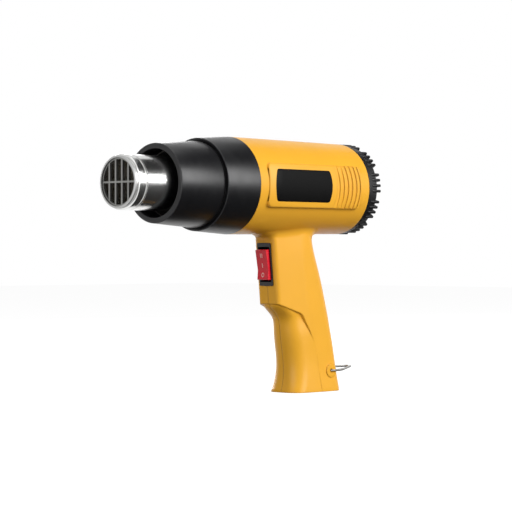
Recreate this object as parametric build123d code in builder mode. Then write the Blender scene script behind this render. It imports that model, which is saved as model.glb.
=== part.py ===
from build123d import *
import os
from math import cos, radians, sin, tan

# Pistol heat tool in millimetres. X runs out of the nozzle, Z is up, the grip hangs down.
# The origin lies on the blowing axis, in the plane of the nozzle guard's front rim.

# Lengths along the blowing axis, front to rear
nozzle_reach = 35.0
guard_length = 40.0
neck_length = 3.0
shroud_length = 29.5
barrel_length = 121.0
cap_flange = 1.7
cap_ring = 7.1
fin_reach = 4.4

# Barrel and walls
barrel_r_front = 36.0
barrel_r_rear = 35.0
housing_wall = 2.5
handle_depth = 155.5
fit_gap = 0.1
slide_gap = 0.05
run_gap = 0.3
overrun = 1.0

# Stations that follow from the lengths
x_outlet = nozzle_reach
x_guard_rear = -guard_length
x_shroud_front = x_guard_rear - neck_length
x_barrel_front = x_shroud_front - shroud_length
x_barrel_rear = x_barrel_front - barrel_length
barrel_bore_r = barrel_r_rear - housing_wall
span = barrel_length + 2 * overrun


def polar(radius, angle):
    """Point on a circle about the blowing axis, with the angle from +Y towards +Z."""
    return (radius * cos(radians(angle)), radius * sin(radians(angle)))


def radial_plane(x, radius, angle):
    """Plane that faces away from the blowing axis, with its own X along the axis."""
    y, z = polar(radius, angle)
    return Plane(origin=(x, y, z), x_dir=(1, 0, 0), z_dir=(0, *polar(1, angle)))


def disc_stack(x_start, sizes):
    """Extrude rings one behind the other, each given as length, outer and inner radius."""
    x = x_start
    for length, r_out, r_in in sizes:
        with BuildSketch(Plane.YZ.offset(x - length)) as ring:
            Circle(r_out)
            if r_in:
                Circle(r_in, mode=Mode.SUBTRACT)
        extrude(ring.sketch, amount=length)
        x -= length


def sector(r_in, r_out, middle, sweep):
    """Draw one sector of a ring in the open sketch."""
    first = middle - sweep / 2
    with BuildLine() as outline:
        CenterArc((0, 0), r_out, first, sweep)
        CenterArc((0, 0), r_in, first, sweep)
        for angle in (first, first + sweep):
            Line(polar(r_in, angle), polar(r_out, angle))
    make_face(outline.edges())


def save(part, name):
    """Label a finished piece and write its file."""
    part.label = name
    export_step(part, "parts/" + name + ".step")


os.makedirs("parts", exist_ok=True)

# Nozzle tube: a rolled tip and collar in front, a long gauge tube, a flange at the rear
tube_r = 19.75
tube_wall = 0.8
tube_relief = 0.25
tip_r = 18.0
tip_bore = 15.5
tip_round = 1.7
tip_lip = 1.0
collar_length = 9.0
groove_width = 2.2
groove_r = 18.6
collar_bore = 17.6
tube_rear_reach = 78.0
flange_r = 24.6
flange_thick = 1.0
gauge_overlap = 1.5
collar_rear = x_outlet - collar_length
groove_rear = collar_rear - groove_width
groove_slope = (tube_r - groove_r) / 4
collar_end = groove_rear - tip_round
x_flange = -tube_rear_reach
tube_bore = tube_r - tube_wall

shield_wall = 0.6
shield_front = 15.0
shield_plate = 0.8
shield_gap = 0.3
x_tube_flange_front = x_flange + flange_thick

# Screws that clamp shield, tube and insulating ring to the fan duct
heater_screw_count = 3
heater_screw_circle = 21.9
heater_screw_r = 1.3
heater_head_r = 1.75
heater_head = 1.4
ring_thick = 4.0
ring_r = 26.0
duct_flange = 2.5
screw_slack = 0.1
heater_hole_r = heater_screw_r + screw_slack
x_ring_rear = x_flange - ring_thick
x_duct_flange_rear = x_ring_rear - duct_flange
x_shield_plate_front = x_tube_flange_front + shield_plate
heater_angles = [90 + i * 360 / heater_screw_count for i in range(heater_screw_count)]


def heater_holes(x, length):
    """Cut the clamp screws' clearance holes through a plate that ends at x."""
    with BuildSketch(Plane.YZ.offset(x)) as holes:
        with Locations(*[polar(heater_screw_circle, a) for a in heater_angles]):
            Circle(heater_hole_r)
    extrude(holes.sketch, amount=length, mode=Mode.SUBTRACT)


with BuildPart() as nozzle_tube:
    with BuildSketch(Plane.XY):
        with BuildLine():
            tip_arc = TangentArc(
                (x_outlet - tip_round, tube_r), (x_outlet, tip_r), tangent=(1, 0)
            )
            Polyline(
                tip_arc @ 1,
                (x_outlet, tip_bore),
                (x_outlet - tip_lip, tip_bore),
                (x_outlet - tip_lip, collar_bore),
                (collar_end, collar_bore),
                (collar_end - (tube_bore - collar_bore), tube_bore),
                (x_flange, tube_bore),
                (x_flange, flange_r),
                (x_flange + flange_thick, flange_r),
                (x_flange + flange_thick, tube_r - tube_relief),
                (-gauge_overlap, tube_r - tube_relief),
                (-gauge_overlap, tube_r),
                (groove_rear, tube_r),
                (groove_rear + groove_slope, groove_r),
                (collar_rear - groove_slope, groove_r),
                (collar_rear, tube_r),
                tip_arc @ 0,
            )
        make_face()
    revolve(axis=Axis.X)
    heater_holes(x_flange, flange_thick)

# Outlet grille: four upright bars and one cross bar in a ring behind the rolled lip
grille_thick = 2.0
grille_ring = 1.5
bar_width = 1.5
bar_pitch = 6.5
cross_bar = 1.3
grille_r = collar_bore - fit_gap
x_grille = x_outlet - tip_lip - fit_gap

with BuildPart() as nozzle_grille:
    with BuildSketch(Plane.YZ.offset(x_grille - grille_thick)):
        Circle(grille_r)
        Circle(grille_r - grille_ring, mode=Mode.SUBTRACT)
        with BuildSketch(mode=Mode.PRIVATE) as bars:
            with GridLocations(bar_pitch, 0, 4, 1):
                Rectangle(bar_width, 2 * grille_r)
            Rectangle(2 * grille_r, cross_bar)
            Circle(grille_r - grille_ring / 2, mode=Mode.INTERSECT)
        add(bars.sketch)
    extrude(amount=grille_thick)

# Nozzle guard: the black sleeve that keeps the hot tube out of reach
guard_r_front = 29.0
guard_r_rear = 31.0
guard_opening = 25.2
guard_bore = 27.0
guard_round = 1.2
guard_lip = 4.0
spigot_r = 30.0
spigot_length = 9.0
bead_r = 30.9
bead_width = 1.0
x_spigot_rear = x_shroud_front - spigot_length
x_bead = x_guard_rear - neck_length / 2

with BuildPart() as nozzle_guard:
    with BuildSketch(Plane.XY) as guard_profile:
        with BuildLine():
            Polyline(
                (0, guard_opening + guard_round),
                (0, guard_r_front),
                (x_guard_rear, guard_r_rear),
                (x_guard_rear, spigot_r),
                (x_bead + bead_width, spigot_r),
                (x_bead + bead_width / 2, bead_r),
                (x_bead - bead_width / 2, bead_r),
                (x_bead - bead_width, spigot_r),
                (x_spigot_rear, spigot_r),
                (x_spigot_rear, guard_bore),
                (-guard_lip - (guard_bore - guard_opening), guard_bore),
                (-guard_lip, guard_opening),
                (-guard_round, guard_opening),
                close=True,
            )
        make_face()
        rim_corner = guard_profile.vertices().group_by(Axis.X)[-1].sort_by(Axis.Y)[-1]
        fillet(rim_corner, guard_round)
    revolve(axis=Axis.X)

# Shroud base: the black cone between guard and barrel, keyed into the barrel halves
shroud_r_front = 32.8
shroud_round = 1.6
shroud_neck_bore = 27.6
shroud_wall = 2.0
key_length = 7.0
key_groove = 1.6
key_depth = 1.0
key_inset = 3.0
key_r = barrel_bore_r - fit_gap
shroud_bore = key_r - shroud_wall - key_depth
x_key_rear = x_barrel_front - key_length
x_key_groove = x_barrel_front - key_inset
x_shoulder = x_spigot_rear - fit_gap - shroud_wall
shroud_flare = shroud_bore - shroud_neck_bore

with BuildPart() as shroud_base:
    with BuildSketch(Plane.XY) as shroud_profile:
        with BuildLine():
            Polyline(
                (x_shroud_front, spigot_r + fit_gap),
                (x_shroud_front, shroud_r_front),
                (x_barrel_front, barrel_r_front),
                (x_barrel_front, key_r),
                (x_key_groove, key_r),
                (x_key_groove, key_r - key_depth),
                (x_key_groove - key_groove, key_r - key_depth),
                (x_key_groove - key_groove, key_r),
                (x_key_rear, key_r),
                (x_key_rear, shroud_bore),
                (x_shoulder - shroud_flare, shroud_bore),
                (x_shoulder, shroud_neck_bore),
                (x_spigot_rear - fit_gap, shroud_neck_bore),
                (x_spigot_rear - fit_gap, spigot_r + fit_gap),
                close=True,
            )
        make_face()
        shroud_rim = shroud_profile.vertices().group_by(Axis.X)[-1].sort_by(Axis.Y)[-1]
        fillet(shroud_rim, shroud_round)
    revolve(axis=Axis.X)

# Heat shield: a steel cup round the tube, with its bottom plate against the tube's flange
with BuildPart() as heat_shield:
    disc_stack(
        -shield_front,
        [(tube_rear_reach - shield_front - flange_thick, flange_r, flange_r - shield_wall)],
    )
    disc_stack(x_shield_plate_front, [(shield_plate, flange_r, tube_r + shield_gap / 3)])
    heater_holes(x_tube_flange_front, shield_plate)

with BuildPart() as heater_flange:
    disc_stack(x_flange, [(ring_thick, ring_r, tube_bore)])
    heater_holes(x_ring_rear, ring_thick)

heater_shank = shield_plate + flange_thick + ring_thick + duct_flange / 2
with BuildPart() as heater_screws:
    for angle in heater_angles:
        with BuildSketch(Plane.YZ.offset(x_shield_plate_front - heater_shank)):
            with Locations(polar(heater_screw_circle, angle)):
                Circle(heater_screw_r)
        extrude(amount=heater_shank)
        with BuildSketch(Plane.YZ.offset(x_shield_plate_front)):
            with Locations(polar(heater_screw_circle, angle)):
                Circle(heater_head_r)
        extrude(amount=heater_head)

# Heating element: a ceramic core with channels, and one resistance coil drawn through them
sleeve_wall = 0.5
sleeve_front = 5.0
core_front = 14.0
core_length = 52.0
channel_count = 6
channel_circle = 11.0
channel_r = 2.6
core_eye_r = 2.0
coil_r = 1.9
coil_tail = 8.0
sleeve_r = tube_bore - fit_gap
core_r = sleeve_r - sleeve_wall - fit_gap
x_core_rear = -core_front - core_length
coil_turn_r = channel_circle * sin(radians(180 / channel_count))

with BuildPart() as mica_sleeve:
    disc_stack(
        -sleeve_front,
        [(tube_rear_reach - sleeve_front - fit_gap, sleeve_r, sleeve_r - sleeve_wall)],
    )

with BuildPart() as heater_core:
    with BuildSketch(Plane.YZ.offset(x_core_rear)):
        Circle(core_r)
        Circle(core_eye_r, mode=Mode.SUBTRACT)
        with PolarLocations(channel_circle, channel_count):
            Circle(channel_r, mode=Mode.SUBTRACT)
    extrude(amount=core_length)

with BuildPart() as heating_coils:
    with BuildLine() as coil_path:
        here = Vector(x_core_rear - coil_tail, *polar(channel_circle, 0))
        for i in range(channel_count):
            forward = i % 2 == 0
            angle = i * 360 / channel_count
            x_end = -core_front if forward else x_core_rear
            if i == channel_count - 1:
                x_end = x_core_rear - coil_tail
            there = Vector(x_end, *polar(channel_circle, angle))
            Line(here, there)
            if i < channel_count - 1:
                way = 1 if forward else -1
                middle = angle + 180 / channel_count
                chord_r = channel_circle * cos(radians(180 / channel_count))
                crown = Vector(x_end + way * coil_turn_r, *polar(chord_r, middle))
                here = Vector(x_end, *polar(channel_circle, angle + 360 / channel_count))
                ThreePointArc(there, crown, here)
    with BuildSketch(Plane(origin=coil_path.line @ 0, z_dir=coil_path.line % 0)):
        Circle(coil_r)
    sweep(path=coil_path.line)

# Thermal cut-out: a small can on the core's rear face
cutout_length = 6.0
cutout_r = 4.0
with BuildPart() as thermal_cutout:
    disc_stack(x_core_rear, [(cutout_length, cutout_r, 0)])

# Motor: a small direct-current can motor in the duct's hub
motor_r = 13.85
motor_length = 38.0
can_wall = 0.9
can_end = 1.0
motor_boss_r = 5.0
motor_boss = 2.0
shaft_r = 1.15
bush_r = 3.0
bush_length = 3.0
magnet_thick = 2.1
magnet_length = 28.0
magnet_sweep = 125.0
rotor_gap = 0.5
rotor_length = 20.0
rotor_slots = 5
rotor_slot_width = 1.8
rotor_slot_depth = 5.5
rotor_hub_r = 3.2
winding_r = 8.6
winding_length = 3.6
commutator_r = 4.2
commutator_length = 4.5
end_cap_thick = 2.5
end_boss = 1.5
brush_width = 2.4
brush_height = 3.0
terminal_width = 2.8
terminal_thick = 0.5
terminal_offset = 9.0
board_gap = 4.0
board_thick = 1.6
board_r = 12.5
board_eye_r = 2.2
diode_r = 1.35
diode_length = 5.2
diode_spread = 6.0
motor_setback = 24.0
x_motor_front = x_ring_rear - motor_setback
x_motor_rear = x_motor_front - motor_length
can_bore = motor_r - can_wall
magnet_r = can_bore - fit_gap
rotor_r = magnet_r - magnet_thick - rotor_gap
x_bush_front = x_motor_front + end_boss
x_bush_rear = x_motor_rear - motor_boss
x_magnet_front = x_motor_front - (motor_length - magnet_length) / 2
x_cap_back = x_motor_front - end_cap_thick
x_commutator_front = x_cap_back - run_gap
x_winding_front = x_commutator_front - commutator_length
x_rotor_front = x_winding_front - winding_length
x_board_front = x_motor_front + board_gap + board_thick
hub_end = 1.6
motor_screw_circle = 8.0
motor_screw_r = 1.2
motor_screw_grip = can_end + hub_end
motor_head_r = 2.2
motor_head = 1.2

with BuildPart() as motor_can:
    disc_stack(
        x_motor_front,
        [
            (motor_length - can_end, motor_r, can_bore),
            (can_end, motor_r, bush_r),
            (motor_boss, motor_boss_r, bush_r),
        ],
    )
    with BuildSketch(Plane.YZ.offset(x_motor_rear)):
        with Locations((motor_screw_circle, 0), (-motor_screw_circle, 0)):
            Circle(motor_screw_r + screw_slack)
    extrude(amount=can_end, mode=Mode.SUBTRACT)

with BuildPart() as motor_magnets:
    with BuildSketch(Plane.YZ.offset(x_magnet_front - magnet_length)):
        for middle in (90, 270):
            sector(magnet_r - magnet_thick, magnet_r, middle, magnet_sweep)
    extrude(amount=magnet_length)

with BuildPart() as motor_end_cap:
    disc_stack(x_bush_front, [(end_boss, motor_boss_r, bush_r)])
    disc_stack(x_motor_front, [(end_cap_thick, can_bore - fit_gap, bush_r)])
    with BuildSketch(Plane.YZ.offset(x_cap_back)):
        with Locations((terminal_offset, 0), (-terminal_offset, 0)):
            Rectangle(terminal_thick + 2 * fit_gap, terminal_width + 2 * fit_gap)
    extrude(amount=end_cap_thick, mode=Mode.SUBTRACT)

with BuildPart() as motor_bushes:
    disc_stack(x_bush_front, [(bush_length, bush_r, shaft_r + slide_gap)])
    disc_stack(x_bush_rear + bush_length, [(bush_length, bush_r, shaft_r + slide_gap)])

brush_x = x_cap_back - brush_height / 2
brush_reach = can_bore - commutator_r - run_gap - 2 * fit_gap - magnet_thick
with BuildPart() as motor_brushes:
    for angle in (0, 180):
        with BuildSketch(radial_plane(brush_x, commutator_r + run_gap, angle)):
            Rectangle(brush_height, brush_width)
        extrude(amount=brush_reach)

terminal_length = end_cap_thick + board_gap
with BuildPart() as motor_terminals:
    with BuildSketch(Plane.YZ.offset(x_cap_back)):
        with Locations((terminal_offset, 0), (-terminal_offset, 0)):
            Rectangle(terminal_thick, terminal_width)
    extrude(amount=terminal_length)

with BuildPart() as rectifier_board:
    disc_stack(x_board_front, [(board_thick, board_r, board_eye_r)])

with BuildPart() as rectifier_diodes:
    for side in (-1, 1):
        for turn in (-1, 1):
            centre = (
                x_board_front + diode_r,
                side * diode_spread,
                turn * diode_spread / 2 - diode_length / 2,
            )
            with BuildSketch(Plane(origin=centre, z_dir=(0, 0, 1))):
                Circle(diode_r)
            extrude(amount=diode_length)

with BuildPart() as motor_screws:
    for side in (-1, 1):
        with BuildSketch(Plane.YZ.offset(x_motor_rear + can_end)):
            with Locations((side * motor_screw_circle, 0)):
                Circle(motor_screw_r)
        extrude(amount=-motor_screw_grip)
        with BuildSketch(Plane.YZ.offset(x_motor_rear + can_end - motor_screw_grip)):
            with Locations((side * motor_screw_circle, 0)):
                Circle(motor_head_r)
        extrude(amount=-motor_head)

# Turning set: shaft, rotor, commutator and fan wheel
fan_gap = 5.0
fan_length = 19.0
fan_hub_r = 9.0
fan_nose = 5.0
fan_count = 9
blade_thick = 1.2
blade_chord = 21.0
blade_root_pitch = 38.0
blade_tip_pitch = 62.0
fan_clearance = 0.5
duct_r = 26.6
duct_wall = 1.4
x_fan_front = x_bush_rear - fan_gap
x_fan_rear = x_fan_front - fan_length
duct_bore = duct_r - duct_wall
fan_r = duct_bore - fan_clearance
shaft_front = 2.0
x_shaft_front = x_bush_front + shaft_front
x_shaft_rear = x_fan_rear + fan_nose / 2

with BuildPart() as motor_shaft:
    disc_stack(x_shaft_front, [(x_shaft_front - x_shaft_rear, shaft_r, 0)])

with BuildPart() as rotor_core:
    with BuildSketch(Plane.YZ.offset(x_rotor_front - rotor_length)):
        Circle(rotor_r)
        with PolarLocations(rotor_r - rotor_slot_depth / 2, rotor_slots):
            Rectangle(rotor_slot_depth + overrun, rotor_slot_width, mode=Mode.SUBTRACT)
        Circle(shaft_r, mode=Mode.SUBTRACT)
    extrude(amount=rotor_length)

with BuildPart() as rotor_windings:
    for x in (x_winding_front, x_rotor_front - rotor_length):
        # One winding head in front of the rotor and one behind it
        disc_stack(x, [(winding_length, winding_r, rotor_hub_r)])
    round_edges = rotor_windings.edges().filter_by(GeomType.CIRCLE)
    fillet([e for e in round_edges if e.radius > rotor_hub_r], winding_length / 3)

with BuildPart() as commutator:
    disc_stack(x_commutator_front, [(commutator_length, commutator_r, shaft_r)])

with BuildPart() as impeller:
    with BuildSketch(Plane.XY):
        with BuildLine():
            Polyline(
                (x_fan_rear + fan_nose, fan_hub_r),
                (x_fan_front, fan_hub_r),
                (x_fan_front, 0),
                (x_fan_rear, 0),
                (x_fan_rear, fan_hub_r / 3),
            )
            TangentArc(
                (x_fan_rear + fan_nose, fan_hub_r),
                (x_fan_rear, fan_hub_r / 3),
                tangent=(-1, 0),
            )
        make_face()
    revolve(axis=Axis.X)
    fan_middle = (x_fan_front + x_fan_rear + fan_nose / 2) / 2
    for i in range(fan_count):
        angle = i * 360 / fan_count
        with BuildSketch(radial_plane(fan_middle, fan_hub_r - overrun, angle)):
            Rectangle(blade_chord * 2 / 3, blade_thick, rotation=blade_root_pitch)
        with BuildSketch(radial_plane(fan_middle, fan_r + overrun, angle)):
            Rectangle(blade_chord, blade_thick, rotation=blade_tip_pitch)
        loft()
    with BuildSketch(Plane.YZ.offset(x_fan_rear)):
        Circle(fan_r)
    extrude(amount=fan_length, mode=Mode.INTERSECT)
    with BuildSketch(Plane.YZ.offset(x_shaft_rear)):
        Circle(shaft_r)
    extrude(amount=fan_length, mode=Mode.SUBTRACT)

# Fan duct: flange, cone, tube, motor hub and guide vanes in one moulding
cone_length = 15.0
vane_count = 7
vane_thick = 1.6
vane_length = 28.0
vane_inset = 6.0
hub_wall = 1.25
duct_rear_inset = 3.0
hub_bore = motor_r + fit_gap
hub_r = hub_bore + hub_wall
x_cone_rear = x_duct_flange_rear - cone_length
x_duct_rear = x_fan_rear - duct_rear_inset
x_hub_front = x_motor_front + end_boss
x_hub_rear = x_motor_rear - hub_end

with BuildPart() as fan_duct:
    with BuildSketch(Plane.XY):
        with BuildLine():
            Polyline(
                (x_ring_rear, tube_bore),
                (x_ring_rear, ring_r),
                (x_duct_flange_rear, ring_r),
                (x_duct_flange_rear, tube_bore + duct_wall),
                (x_cone_rear, duct_r),
                (x_duct_rear, duct_r),
                (x_duct_rear, duct_bore),
                (x_cone_rear, duct_bore),
                (x_duct_flange_rear, tube_bore),
                close=True,
            )
        make_face()
    revolve(axis=Axis.X)
    heater_holes(x_duct_flange_rear, duct_flange)
    disc_stack(x_hub_front, [(x_hub_front - x_motor_rear, hub_r, hub_bore)])
    disc_stack(x_motor_rear, [(hub_end, hub_r, motor_boss_r + fit_gap)])
    for i in range(vane_count):
        angle = 90 + i * 360 / vane_count
        vane_x = x_hub_front - vane_inset - vane_length / 2
        with BuildSketch(radial_plane(vane_x, hub_r - hub_wall / 2, angle)):
            Rectangle(vane_length, vane_thick)
        extrude(amount=duct_bore - hub_r + hub_wall / 2 + duct_wall / 2)
    with BuildSketch(Plane.YZ.offset(x_hub_rear)):
        with Locations((motor_screw_circle, 0), (-motor_screw_circle, 0)):
            Circle(motor_screw_r + screw_slack)
    extrude(amount=hub_end, mode=Mode.SUBTRACT)

# Rear air intake: a fixed slotted cup in the barrel, and the ribbed cap that turns on it
window_count = 10
window_sweep = 17.0
window_r_in = 10.0
window_r_out = 28.0
cup_wall = 1.4
cup_floor = 1.6
cup_flange = 2.0
cup_inset = 10.0
cap_wall = 2.7
cap_floor = 2.4
floor_gap = 0.6
pivot_r = 4.0
pivot_core_r = 1.4
cap_edge_r = 33.4
fin_groups = 10
fins_per_group = 4
fin_pitch = 7.2
fin_width = 1.6
fin_depth = 3.4
fin_start = 2.2
fin_phase = 7.5
fin_tip_r = 34.6
screw_head_r = 5.6
screw_head = 1.8
x_cap_front = x_barrel_rear - run_gap
x_cap_ring = x_cap_front - cap_flange
x_cap_rear = x_cap_ring - cap_ring
x_fin_rear = x_cap_rear - fin_reach
cap_bore = barrel_r_rear - cap_wall
cup_r = cap_bore - run_gap
x_cap_floor = x_cap_rear + cap_flange
x_cup_rear = x_cap_floor + cap_floor + floor_gap
x_cup_flange = x_barrel_rear + cup_inset
cup_r_in = cup_r - cup_wall


def windows(x, length):
    """Cut the ring of air windows through a floor that starts at x."""
    with BuildSketch(Plane.YZ.offset(x)) as openings:
        for i in range(window_count):
            middle = fin_phase + i * 360 / window_count
            sector(window_r_in, window_r_out, middle, window_sweep)
    extrude(openings.sketch, amount=length, mode=Mode.SUBTRACT)


with BuildPart() as intake_grille:
    disc_stack(
        x_cup_flange,
        [
            (cup_flange, barrel_bore_r + key_depth - fit_gap, cup_r_in),
            (x_cup_flange - cup_flange - x_cup_rear - cup_floor, cup_r, cup_r_in),
            (cup_floor, cup_r, 0),
            (floor_gap + cap_floor + run_gap, pivot_r, 0),
        ],
    )
    windows(x_cup_rear, cup_floor)
    with BuildSketch(Plane.YZ.offset(x_cap_floor - run_gap)):
        Circle(pivot_core_r + screw_slack)
    extrude(amount=cup_floor + floor_gap + cap_floor + run_gap, mode=Mode.SUBTRACT)

with BuildPart() as intake_cap:
    with BuildSketch(Plane.XY) as cap_profile:
        with BuildLine():
            Polyline(
                (x_cap_front, cap_bore),
                (x_cap_front, barrel_r_rear),
                (x_cap_ring, barrel_r_rear),
                (x_cap_ring, fin_tip_r),
                (x_cap_rear, cap_edge_r),
                (x_cap_rear, cap_bore),
                close=True,
            )
        make_face()
        cap_rim = cap_profile.vertices().group_by(Axis.X)[0].sort_by(Axis.Y)[-1]
        fillet(cap_rim, (cap_edge_r - cap_bore) * 3 / 4)
    revolve(axis=Axis.X)
    disc_stack(x_cap_floor + cap_floor, [(cap_floor, cap_bore + cap_wall / 2, 0)])
    windows(x_cap_floor, cap_floor)
    with BuildSketch(Plane.YZ.offset(x_cap_floor)):
        Circle(pivot_r + slide_gap)
    extrude(amount=cap_floor, mode=Mode.SUBTRACT)
    fin_run = x_cap_ring - fin_start - x_fin_rear
    for group in range(fin_groups):
        for fin in range(fins_per_group):
            step = fin - (fins_per_group - 1) / 2
            angle = fin_phase + group * 360 / fin_groups + step * fin_pitch
            plane = radial_plane(x_fin_rear, fin_tip_r - fin_depth, angle)
            with BuildSketch(plane):
                with Locations(((fin_run + fin_width / 2) / 2, 0)):
                    Rectangle(fin_run - fin_width / 2, fin_width)
                with Locations((fin_width / 2, 0)):
                    Circle(fin_width / 2)
            extrude(amount=fin_depth)
    with BuildSketch(Plane.YZ.offset(x_cap_floor + cap_floor)):
        Circle(cap_bore)
    extrude(amount=cap_ring, mode=Mode.SUBTRACT)

with BuildPart() as cap_screw:
    disc_stack(x_cap_floor - run_gap + cap_floor, [(cap_floor, pivot_core_r, 0)])
    disc_stack(x_cap_floor - run_gap, [(screw_head, screw_head_r, 0)])
    slot_width = screw_head / 2
    with BuildSketch(Plane.YZ.offset(x_cap_floor - run_gap - screw_head)):
        Rectangle(screw_head_r, slot_width)
        Rectangle(slot_width, screw_head_r)
    extrude(amount=screw_head / 2, mode=Mode.SUBTRACT)

# Handle outlines, as shares of the depth, the leans and the half width
panel_x = 111.9
panel_top = 28.0
panel_lean = 5.7
panel_corner = 3.5
grip_half = 15.5
hip_x = 138.5
hip_lean = 13.5
heel_x = 157.3
heel_lean = 28.9
heel_round = 12.5
side_blend = 20.0
nose_x = 118.0
nose_lean = 16.0
nose_base = 200.0
crease_run = 45.0
crease_round = 7.0
hollow_reach = 80.0
# Columns: depth, half width in front, hip, half width behind, heel
shell_shares = (
    (0.180, 0.661, 0.000, 1.000, 0.000),
    (0.305, 0.661, 0.040, 1.000, 0.045),
    (0.386, 0.661, 0.120, 1.000, 0.200),
    (0.514, 0.661, 0.375, 1.000, 0.430),
    (0.579, 0.665, 0.500, 1.000, 0.530),
    (0.643, 0.690, 0.625, 1.000, 0.626),
    (0.707, 0.760, 0.750, 1.000, 0.713),
    (0.776, 0.840, 0.875, 1.003, 0.800),
    (0.868, 0.935, 0.950, 1.019, 0.893),
    (0.945, 1.025, 1.000, 1.070, 0.958),
    (1.000, 1.080, 1.000, 1.116, 1.000),
)
# Columns: depth, nose, half width in front, nose radius, half width at the base
nose_shares = (
    (0.500, 0.000, 0.600, 0.480, 1.700),
    (0.566, 0.063, 0.632, 0.530, 1.680),
    (0.592, 0.213, 0.645, 0.580, 1.640),
    (0.635, 0.625, 0.655, 0.690, 1.580),
    (0.695, 0.762, 0.725, 0.790, 1.620),
    (0.776, 0.875, 0.800, 0.840, 1.450),
    (0.868, 1.000, 0.870, 0.840, 1.300),
    (0.945, 0.969, 0.965, 0.775, 1.225),
    (1.000, 0.825, 1.030, 0.710, 1.220),
    (1.040, 0.700, 1.070, 0.680, 1.220),
)
# Columns: way back along the handle, depth
crease_shares = ((-0.375, 0.514), (0.624, 0.616), (0.935, 0.775), (1.090, 1.068))


def shell_loft(inset):
    """Handle before its finger hollow is cut, drawn in by a wall's thickness."""
    with BuildPart() as shell:
        for depth, front, hip, back, heel in shell_shares:
            z = -depth * handle_depth
            if depth == 1:
                z += inset
            x_front = -panel_x - tan(radians(panel_lean)) * (-z - panel_top) - inset
            x_hip = -hip_x - hip * hip_lean
            x_heel = -heel_x - heel * heel_lean + inset
            half_front = front * grip_half - inset
            half_back = back * grip_half - inset
            with BuildSketch(Plane.XY.offset(z)) as section:
                with BuildLine():
                    Polyline(
                        (x_front, -half_front),
                        (x_hip, -half_back),
                        (x_heel, -half_back),
                        (x_heel, half_back),
                        (x_hip, half_back),
                        (x_front, half_front),
                        close=True,
                    )
                make_face()
                fillet(section.vertices().group_by(Axis.X)[0], heel_round - inset)
                fillet(section.vertices().group_by(Axis.X)[-1], panel_corner - inset / 2)
                hips = section.vertices().filter_by(lambda v: abs(v.X - x_hip) < fit_gap)
                fillet(hips, side_blend)
        loft()
    return shell.part


def nose_loft(inset):
    """Round-nosed grip that shows inside the finger hollow; it runs on behind the heel."""
    with BuildPart() as grip:
        for depth, nose, front, rounding, base in nose_shares:
            x_nose = -nose_x - nose * nose_lean - inset
            half_front = front * grip_half - inset / 2
            half_base = base * grip_half - inset
            with BuildSketch(Plane.XY.offset(-depth * handle_depth)) as section:
                with BuildLine():
                    Polyline(
                        (x_nose, -half_front),
                        (-nose_base, -half_base),
                        (-nose_base, half_base),
                        (x_nose, half_front),
                        close=True,
                    )
                make_face()
                fillet(
                    section.vertices().group_by(Axis.X)[-1], rounding * grip_half - inset
                )
        loft()
    return grip.part


def handle_solid(inset):
    """Handle with its finger hollow: below the crease only the round nose is left."""
    grip = nose_loft(inset)
    shell = shell_loft(inset)
    with BuildPart() as hollow:
        with BuildSketch(Plane.XZ):
            with BuildLine():
                points = [
                    (-panel_x - back * crease_run - inset, -depth * handle_depth + inset)
                    for back, depth in crease_shares
                ]
                edge = FilletPolyline(*points, radius=crease_round)
                Polyline(
                    edge @ 1,
                    (-hollow_reach, (edge @ 1).Y),
                    (-hollow_reach, (edge @ 0).Y),
                    edge @ 0,
                )
            make_face()
        extrude(amount=2 * grip_half, both=True)
        add(grip, mode=Mode.SUBTRACT)
    with BuildPart() as handle:
        add(shell)
        add(hollow.part, mode=Mode.SUBTRACT)
    return handle.part


# Side panel, nameplate and blind grooves
pad_inset = 8.8
pad_length = 100.7
pad_half_height = 16.0
pad_face = 36.15
pad_r = 90.0
pad_corner = 4.0
pad_depth = 14.0
plate_inset = 17.5
plate_length = 57.5
plate_height = 24.0
plate_bow = 2.4
plate_corner = 1.6
plate_thick = 0.6
plate_sink = 0.3
groove_count = 5
groove_inset = 86.0
groove_pitch = 4.8
groove_wide = 4.0
groove_narrow = 2.2
groove_bow = 3.0
groove_depth = 1.3
junction_round = 5.0
x_pad_front = x_barrel_front - pad_inset
pad_taper = (barrel_r_front - barrel_r_rear) / barrel_length
pad_centre_y = pad_face - pad_r


def pad_limit(level):
    """Cylinder with the side panel's gentle crown, raised or sunk by a level."""
    with BuildPart() as limit:
        with BuildSketch(Plane.YZ.offset(x_pad_front + pad_depth)) as disc:
            with Locations((pad_centre_y, 0)):
                Circle(pad_r + level)
        extrude(disc.sketch, amount=barrel_length + pad_depth, dir=(-1, -pad_taper, 0))
    return limit.part


def bowed(x_front, x_rear, half_height, bow_front, bow_rear):
    """Draw an upright outline whose two ends bow, with positive bows towards the rear."""
    with BuildLine() as outline:
        for x, bow in ((x_front, bow_front), (x_rear, bow_rear)):
            ThreePointArc((x, -half_height), (x - bow, 0), (x, half_height))
        for z in (-half_height, half_height):
            Line((x_front, z), (x_rear, z))
    make_face(outline.edges())


def side_block(sketch):
    """Extrude an outline from inside the barrel's side out past it."""
    extrude(sketch, amount=-barrel_r_front - pad_depth)


x_plate_front = x_barrel_front - plate_inset
x_plate_rear = x_plate_front - plate_length
pad_skin = pad_limit(0)
plate_skin = pad_limit(plate_thick - plate_sink)
plate_floor = pad_limit(-plate_sink)
groove_floor = pad_limit(-groove_depth)

with BuildPart() as side_pad:
    with BuildSketch(Plane.XZ.offset(-pad_depth)) as pad_outline:
        with Locations((x_pad_front - pad_length / 2, 0)):
            RectangleRounded(pad_length, 2 * pad_half_height, pad_corner)
    side_block(pad_outline.sketch)
    add(pad_skin, mode=Mode.INTERSECT)

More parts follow.
